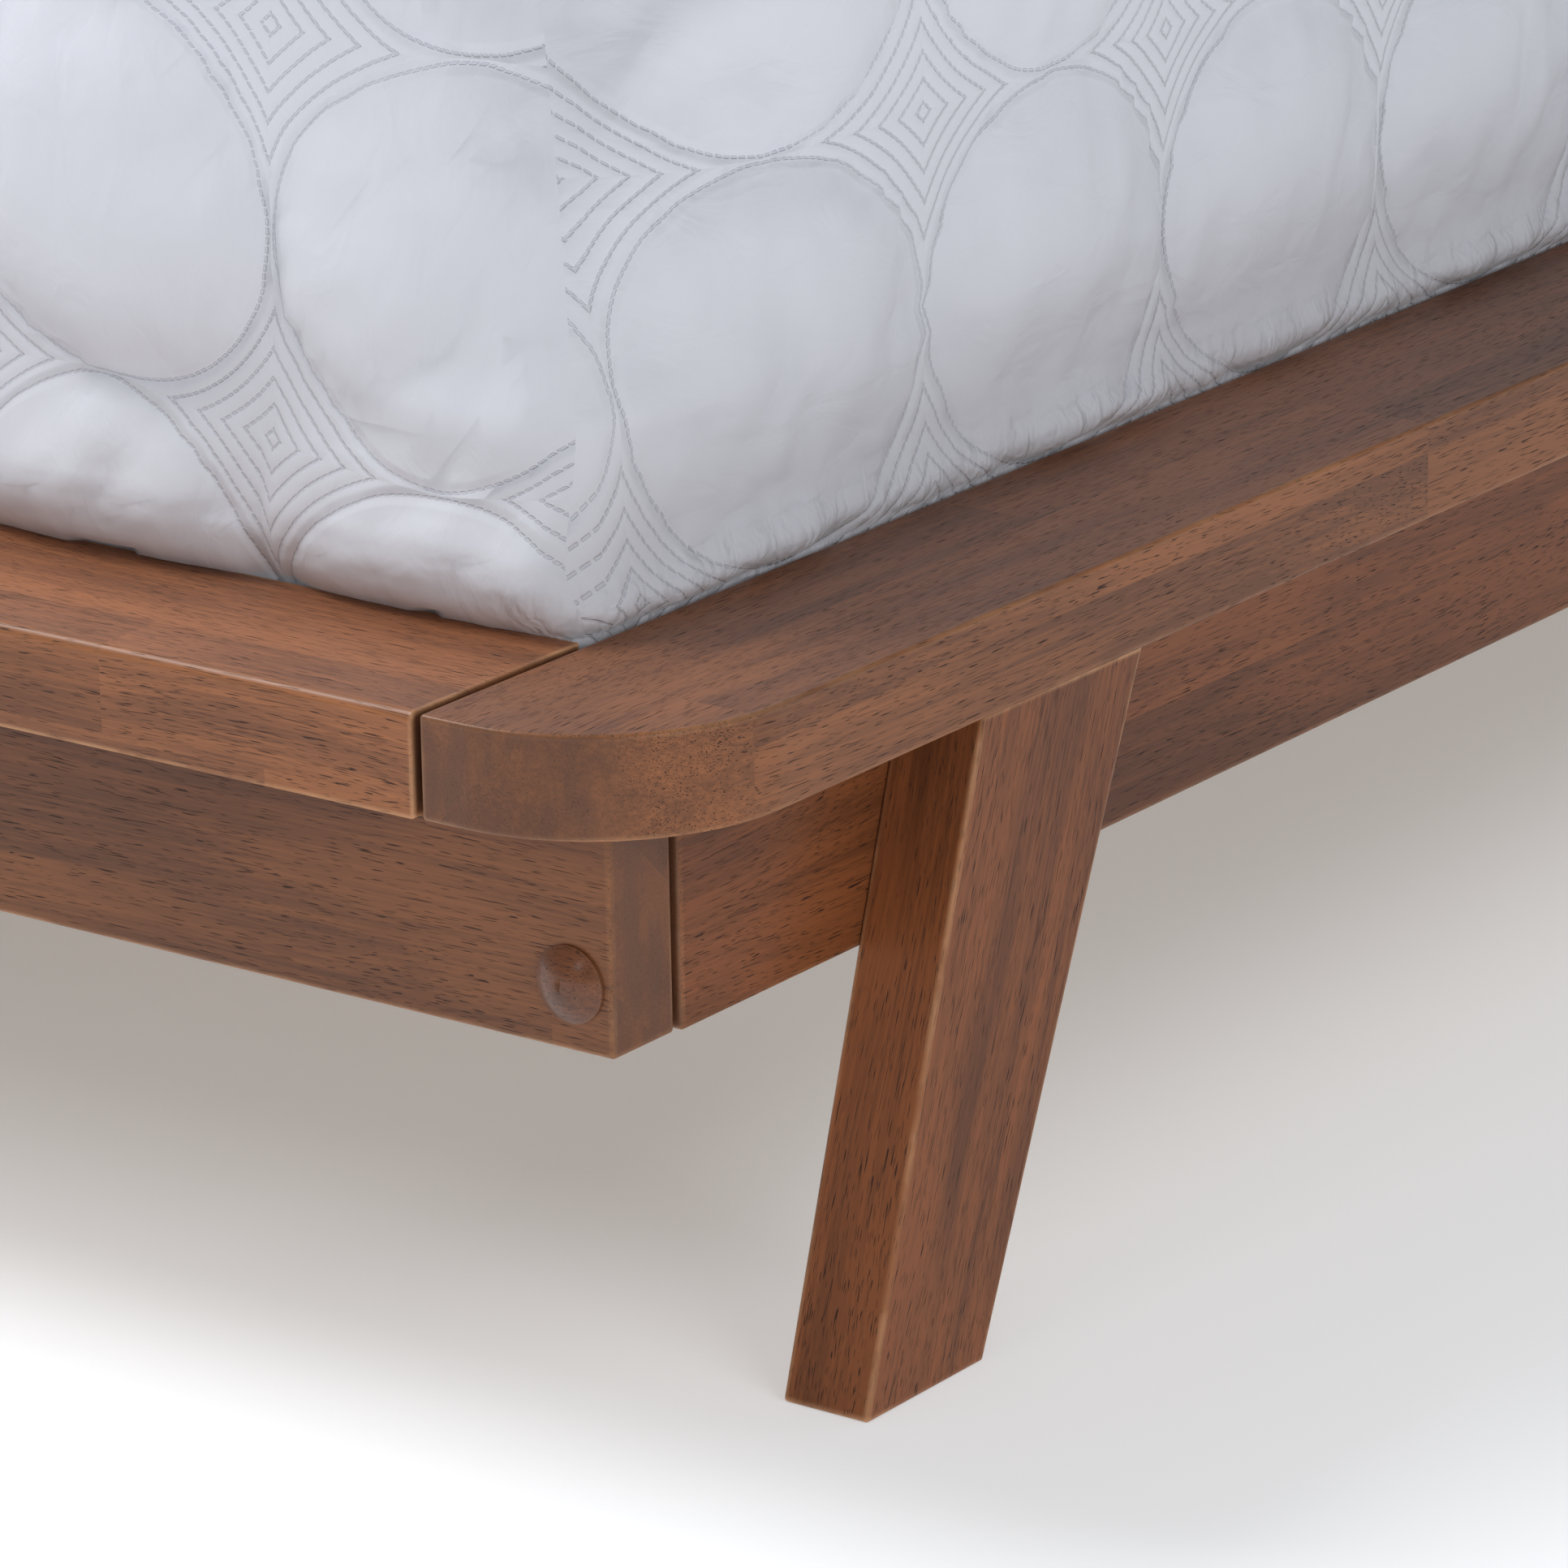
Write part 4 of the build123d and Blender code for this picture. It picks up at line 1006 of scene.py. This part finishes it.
def make_sateen():
    gloss = {"Sheen_Weight": 0.25, "Sheen_Roughness": 0.4, "Specular_IOR_Level": 0.35}
    material, tree, shader = new_material("white_sateen", **gloss)
    cloth = put(tree, "ShaderNodeUVMap", {"uv_map": "cloth"}).outputs[0]
    place = object_place(tree)
    quilt = put(tree, "ShaderNodeGroup", {"node_tree": STITCHES}, Cloth=cloth)
    tint = noise(tree, place, 9.0, 3.0)
    color = blend_colors(tree, tint, (0.765, 0.785, 0.855, 1), (0.725, 0.745, 0.81, 1))
    stitched = times(tree, quilt.outputs["Stitches"], 0.24)
    color = blend_colors(tree, stitched, color, (0.46, 0.48, 0.60, 1))
    weave = noise(tree, cloth, (2600.0, 900.0, 1.0), 1.0)
    feed(tree, shader, Base_Color=color, Roughness=ramp(tree, weave, 0.3, 0.7, 0.52, 0.64))
    crumple = noise(tree, cloth, (60.0, 34.0, 1.0), 3.0, 0.5, 0.8)
    height = plus(tree, quilt.outputs["Height"], times(tree, weave, 0.00003))
    height = plus(tree, height, times(tree, crumple, 0.0012))
    # the hem is gathered where it turns down beside the ledge
    where = put(tree, "ShaderNodeSeparateXYZ", Vector=place).outputs
    hem = ramp(tree, where[2], LEDGE_TOP + 0.008, LEDGE_TOP + 0.026, 0.0035, 0.0)
    on_side = ramp(tree, calc(tree, "ABSOLUTE", where[0]), HALF_X - 0.04, HALF_X - 0.01)
    hem = times(tree, hem, on_side)
    gathers = noise(tree, place, (110.0, 110.0, 45.0), 2.0, 0.55, 0.5)
    height = plus(tree, height, times(tree, gathers, hem))
    add_bump(tree, shader, height, 1.0)
    return material


SATEEN = make_sateen()
apply_tree(coverlet, make_relief_tree(), Puff=0.003, Finish=SATEEN)
print("quilted coverlet:", len(coverlet.data.polygons), "quads")

# %% [markdown]
# ## Keep the cloth off the wood
# Where the coverlet goes down into the gap it must not cut into the ledge, however much it was
# puffed. The last step moves back any point that is too far out at the ledge's height.

# %% Clear the ledge
CLEARANCE = 0.0007


def clear_ledge(piece):
    points = points_of(piece.data)
    low = points[:, 2] < LEDGE_TOP + CLEARANCE
    ways = (-LEDGE_INNER_X, LEDGE_INNER_X), (LEDGE_FOOT_INNER_Y, LEDGE_HEAD_INNER_Y)
    for axis, (start, end) in enumerate(ways):
        points[low, axis] = np.clip(points[low, axis], start + CLEARANCE, end - CLEARANCE)
    move_points(piece.data, points)


clear_ledge(coverlet)
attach(coverlet, "bed")
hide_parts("coverlet")

# %% [markdown]
# ## The mattress
# Only its underside shows, between the slats. It is a deep rounded block in knitted ticking, so
# one rule can turn every point of a plain box into a point of the mattress. The same rule places
# the corded tape that binds its lower edge.

# %% Mattress shape
MATTRESS_ROUND = (0.018, 0.040)  # edge radius at the bottom and at the top
MATTRESS_DRAW = 0.075  # how far its corners stay inside the coverlet's
MATTRESS_CUTS = 40
SIDE_ROOM, TOP_ROOM = 0.012, 0.012  # left for the coverlet's padding
mattress_half = (mattress_high - mattress_low) / 2 - Vector((SIDE_ROOM, SIDE_ROOM, TOP_ROOM / 2))
mattress_centre = (mattress_high + mattress_low) / 2 - Vector((0, 0, TOP_ROOM / 2))


def mattress_point(x, y, z):
    """The mattress's surface for a point of the plain box, each of x, y and z from -1 to 1."""
    half = mattress_half
    point = Vector((x * half.x, y * half.y, z * half.z))
    radius = MATTRESS_ROUND[0] + (MATTRESS_ROUND[1] - MATTRESS_ROUND[0]) * (z + 1) / 2
    core = Vector([max(radius - h, min(h - radius, c)) for h, c in zip(half, point)])
    out = point - core
    if out.length > 1e-9:
        point = core + out.normalized() * radius
    from_corner = half.x * (1 - abs(x)) + half.y * (1 - abs(y))
    draw = MATTRESS_DRAW * max(0.0, 1 - from_corner / CORNER_REACH) ** 2
    point.x -= math.copysign(draw, x)
    point.y -= math.copysign(draw, y)
    return point + mattress_centre


def make_mattress():
    mesh = bpy.data.meshes.new("quilted_mattress")
    body = bmesh.new()
    bmesh.ops.create_cube(body, size=2.0)
    bmesh.ops.subdivide_edges(body, edges=body.edges[:], cuts=MATTRESS_CUTS, use_grid_fill=True)
    for vertex in body.verts:
        vertex.co = mattress_point(*vertex.co)
    bmesh.ops.recalc_face_normals(body, faces=body.faces[:])
    for face in body.faces:
        face.smooth = True
    body.to_mesh(mesh)
    body.free()
    return new_object("quilted_mattress", mesh)


mattress = make_mattress()
print("mattress:", len(mattress.data.polygons), "quads")

# %% [markdown]
# ## Ticking
# Mattress ticking is a thick knit, quilted to a thin pad in small cells. The knit is a fine
# noise, longer one way than the other, and the cells are soft hollows between the tufts.

# %% Ticking material


def make_ticking():
    sheen = {"Sheen_Weight": 0.3, "Sheen_Roughness": 0.5}
    material, tree, shader = new_material("knitted_ticking", **sheen)
    place = object_place(tree)
    knit = noise(tree, place, (900.0, 350.0, 900.0), 1.0)
    color = blend_colors(tree, knit, (0.80, 0.79, 0.75, 1), (0.68, 0.67, 0.64, 1))
    feed(tree, shader, Base_Color=color, Roughness=ramp(tree, knit, 0.2, 0.8, 0.75, 0.9))
    cells = put(tree, "ShaderNodeTexVoronoi", Vector=place, Scale=14.0).outputs[0]
    hollows = times(tree, cells, -0.004)
    height = plus(tree, times(tree, knit, 0.0002), hollows)
    add_bump(tree, shader, height, 0.6)
    return material


TICKING = make_ticking()
mattress.data.materials.append(TICKING)
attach(mattress, "bed")
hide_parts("mattress")

# %% [markdown]
# ## The taped edge
# A corded tape closes the seam between the mattress's border and its bottom panel. It is a tube
# along a path, so Geometry Nodes sweep a round section along the edge. Its thickness is an input
# of the tree.

# %% Sweep the tape


def make_tape_tree():
    tree, given, result = start_tree("swept_tape", {"Thickness": (FLOAT, 0.007)})
    path = put(tree, "GeometryNodeMeshToCurve", Mesh=given.outputs["Geometry"]).outputs[0]
    radius = times(tree, given.outputs["Thickness"], 0.5)
    section = put(tree, "GeometryNodeCurvePrimitiveCircle", Resolution=10, Radius=radius).outputs[0]
    tube = put(tree, "GeometryNodeCurveToMesh", Curve=path, Profile_Curve=section).outputs[0]
    smooth = put(tree, "GeometryNodeSetShadeSmooth", Geometry=tube).outputs[0]
    return finish_tree(tree, given, result, smooth)


def edge_path(steps):
    """A closed path of points round the mattress's lower edge."""
    ways = np.linspace(-1, 1, steps, endpoint=False)
    ring = [(w, -1) for w in ways] + [(1, w) for w in ways]
    ring += [(-x, -y) for x, y in ring]
    mesh = bpy.data.meshes.new("mattress_tape")
    count = len(ring)
    points = [mattress_point(x, y, -1) for x, y in ring]
    mesh.from_pydata(points, [(i, (i + 1) % count) for i in range(count)], [])
    return mesh


TAPE_STEPS = 90  # along each side
tape = new_object("mattress_tape", edge_path(TAPE_STEPS))
apply_tree(tape, make_tape_tree(), Thickness=0.007, Finish=TICKING)
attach(tape, "bed")
print("tape:", len(tape.data.polygons), "faces")

# %% [markdown]
# ## Floor and light
# The bed stands on a pale sweep that glows a little, as a backlit studio table does, though it is no
# lamp, so that the shadow under the bed stays light. The glow is weaker inside the bed's outline and
# stronger beyond it, which paints the bed's shadow onto the floor. One large lamp hangs high on the
# far side of the foot end, so the mattress shades the side ledge but not the foot ledge. A weak lamp
# fills the open corner, and a small one in front puts a highlight on the caps and the rubbed edges.

# %% Stage
FLOOR_SIZE = 30.0
FLOOR_GLOW = (0.19, 0.42)  # under the bed, where the lower glow paints the bed's shadow, and beyond it
SHADE_INSET = 0.25  # the glow begins to grow this far inside the bed's outline


def make_floor(low, high):
    mesh = bpy.data.meshes.new("studio_floor")
    half = FLOOR_SIZE / 2
    corners = [(-half, -half, 0), (half, -half, 0), (half, half, 0), (-half, half, 0)]
    mesh.from_pydata(corners, [], [(0, 1, 2, 3)])
    floor = new_object("studio_floor", mesh)
    material, tree, shader = new_material("backlit_sweep", Roughness=0.9, Specular_IOR_Level=0.1)
    place = object_place(tree)
    faint = noise(tree, place, 0.6, 2.0)
    color = blend_colors(tree, faint, (0.80, 0.83, 0.87, 1), (0.78, 0.81, 0.85, 1))
    inner = ((high.x - low.x) / 2 - SHADE_INSET, (high.y - low.y) / 2 - SHADE_INSET, 0)
    past = vector_calc(tree, "SUBTRACT", vector_calc(tree, "ABSOLUTE", place), inner)
    distance = vector_calc(tree, "LENGTH", vector_calc(tree, "MAXIMUM", past, (0, 0, 0)))
    # painted shadow: the glow is lower inside the bed's outline, so the floor there looks shaded
    glow = ramp(tree, distance, 0.0, SHADE_INSET, *FLOOR_GLOW)
    feed(tree, shader, Base_Color=color, Emission_Strength=glow)
    shader.inputs["Emission Color"].default_value = (1, 1, 1, 1)
    mesh.materials.append(material)


def make_lamp(name, place, target, size, power):
    data = bpy.data.lights.new(name, "AREA")
    data.shape = "RECTANGLE"
    data.size, data.size_y = size
    data.energy = power
    lamp = new_object(name, data)
    aim = (Vector(target) - Vector(place)).to_track_quat("-Z", "Y")
    lamp.matrix_world = Matrix.Translation(place) @ aim.to_matrix().to_4x4()


def make_world(strength):
    world = bpy.data.worlds.new("studio")
    world.use_nodes = True
    background = world.node_tree.nodes["Background"]
    background.inputs["Color"].default_value = (1.0, 1.0, 1.0, 1)
    background.inputs["Strength"].default_value = strength
    bpy.context.scene.world = world


make_floor(Vector(CAD_BOX[0]), Vector(CAD_BOX[1]))
make_world(0.31)
make_lamp("key_softbox", (-1.9, -1.6, 3.6), (0.5, -0.9, 0.2), (1.6, 1.6), 124)
make_lamp("front_softbox", (4.3, -2.4, 1.4), (0.8, -0.6, 0.3), (2.0, 1.6), 40)
make_lamp("catch_light", (0.7, -4.0, 1.6), (0.7, -1.1, 0.2), (0.5, 0.5), 4)
bpy.context.scene.view_settings.view_transform = "Standard"
print("stage and lamps are set")
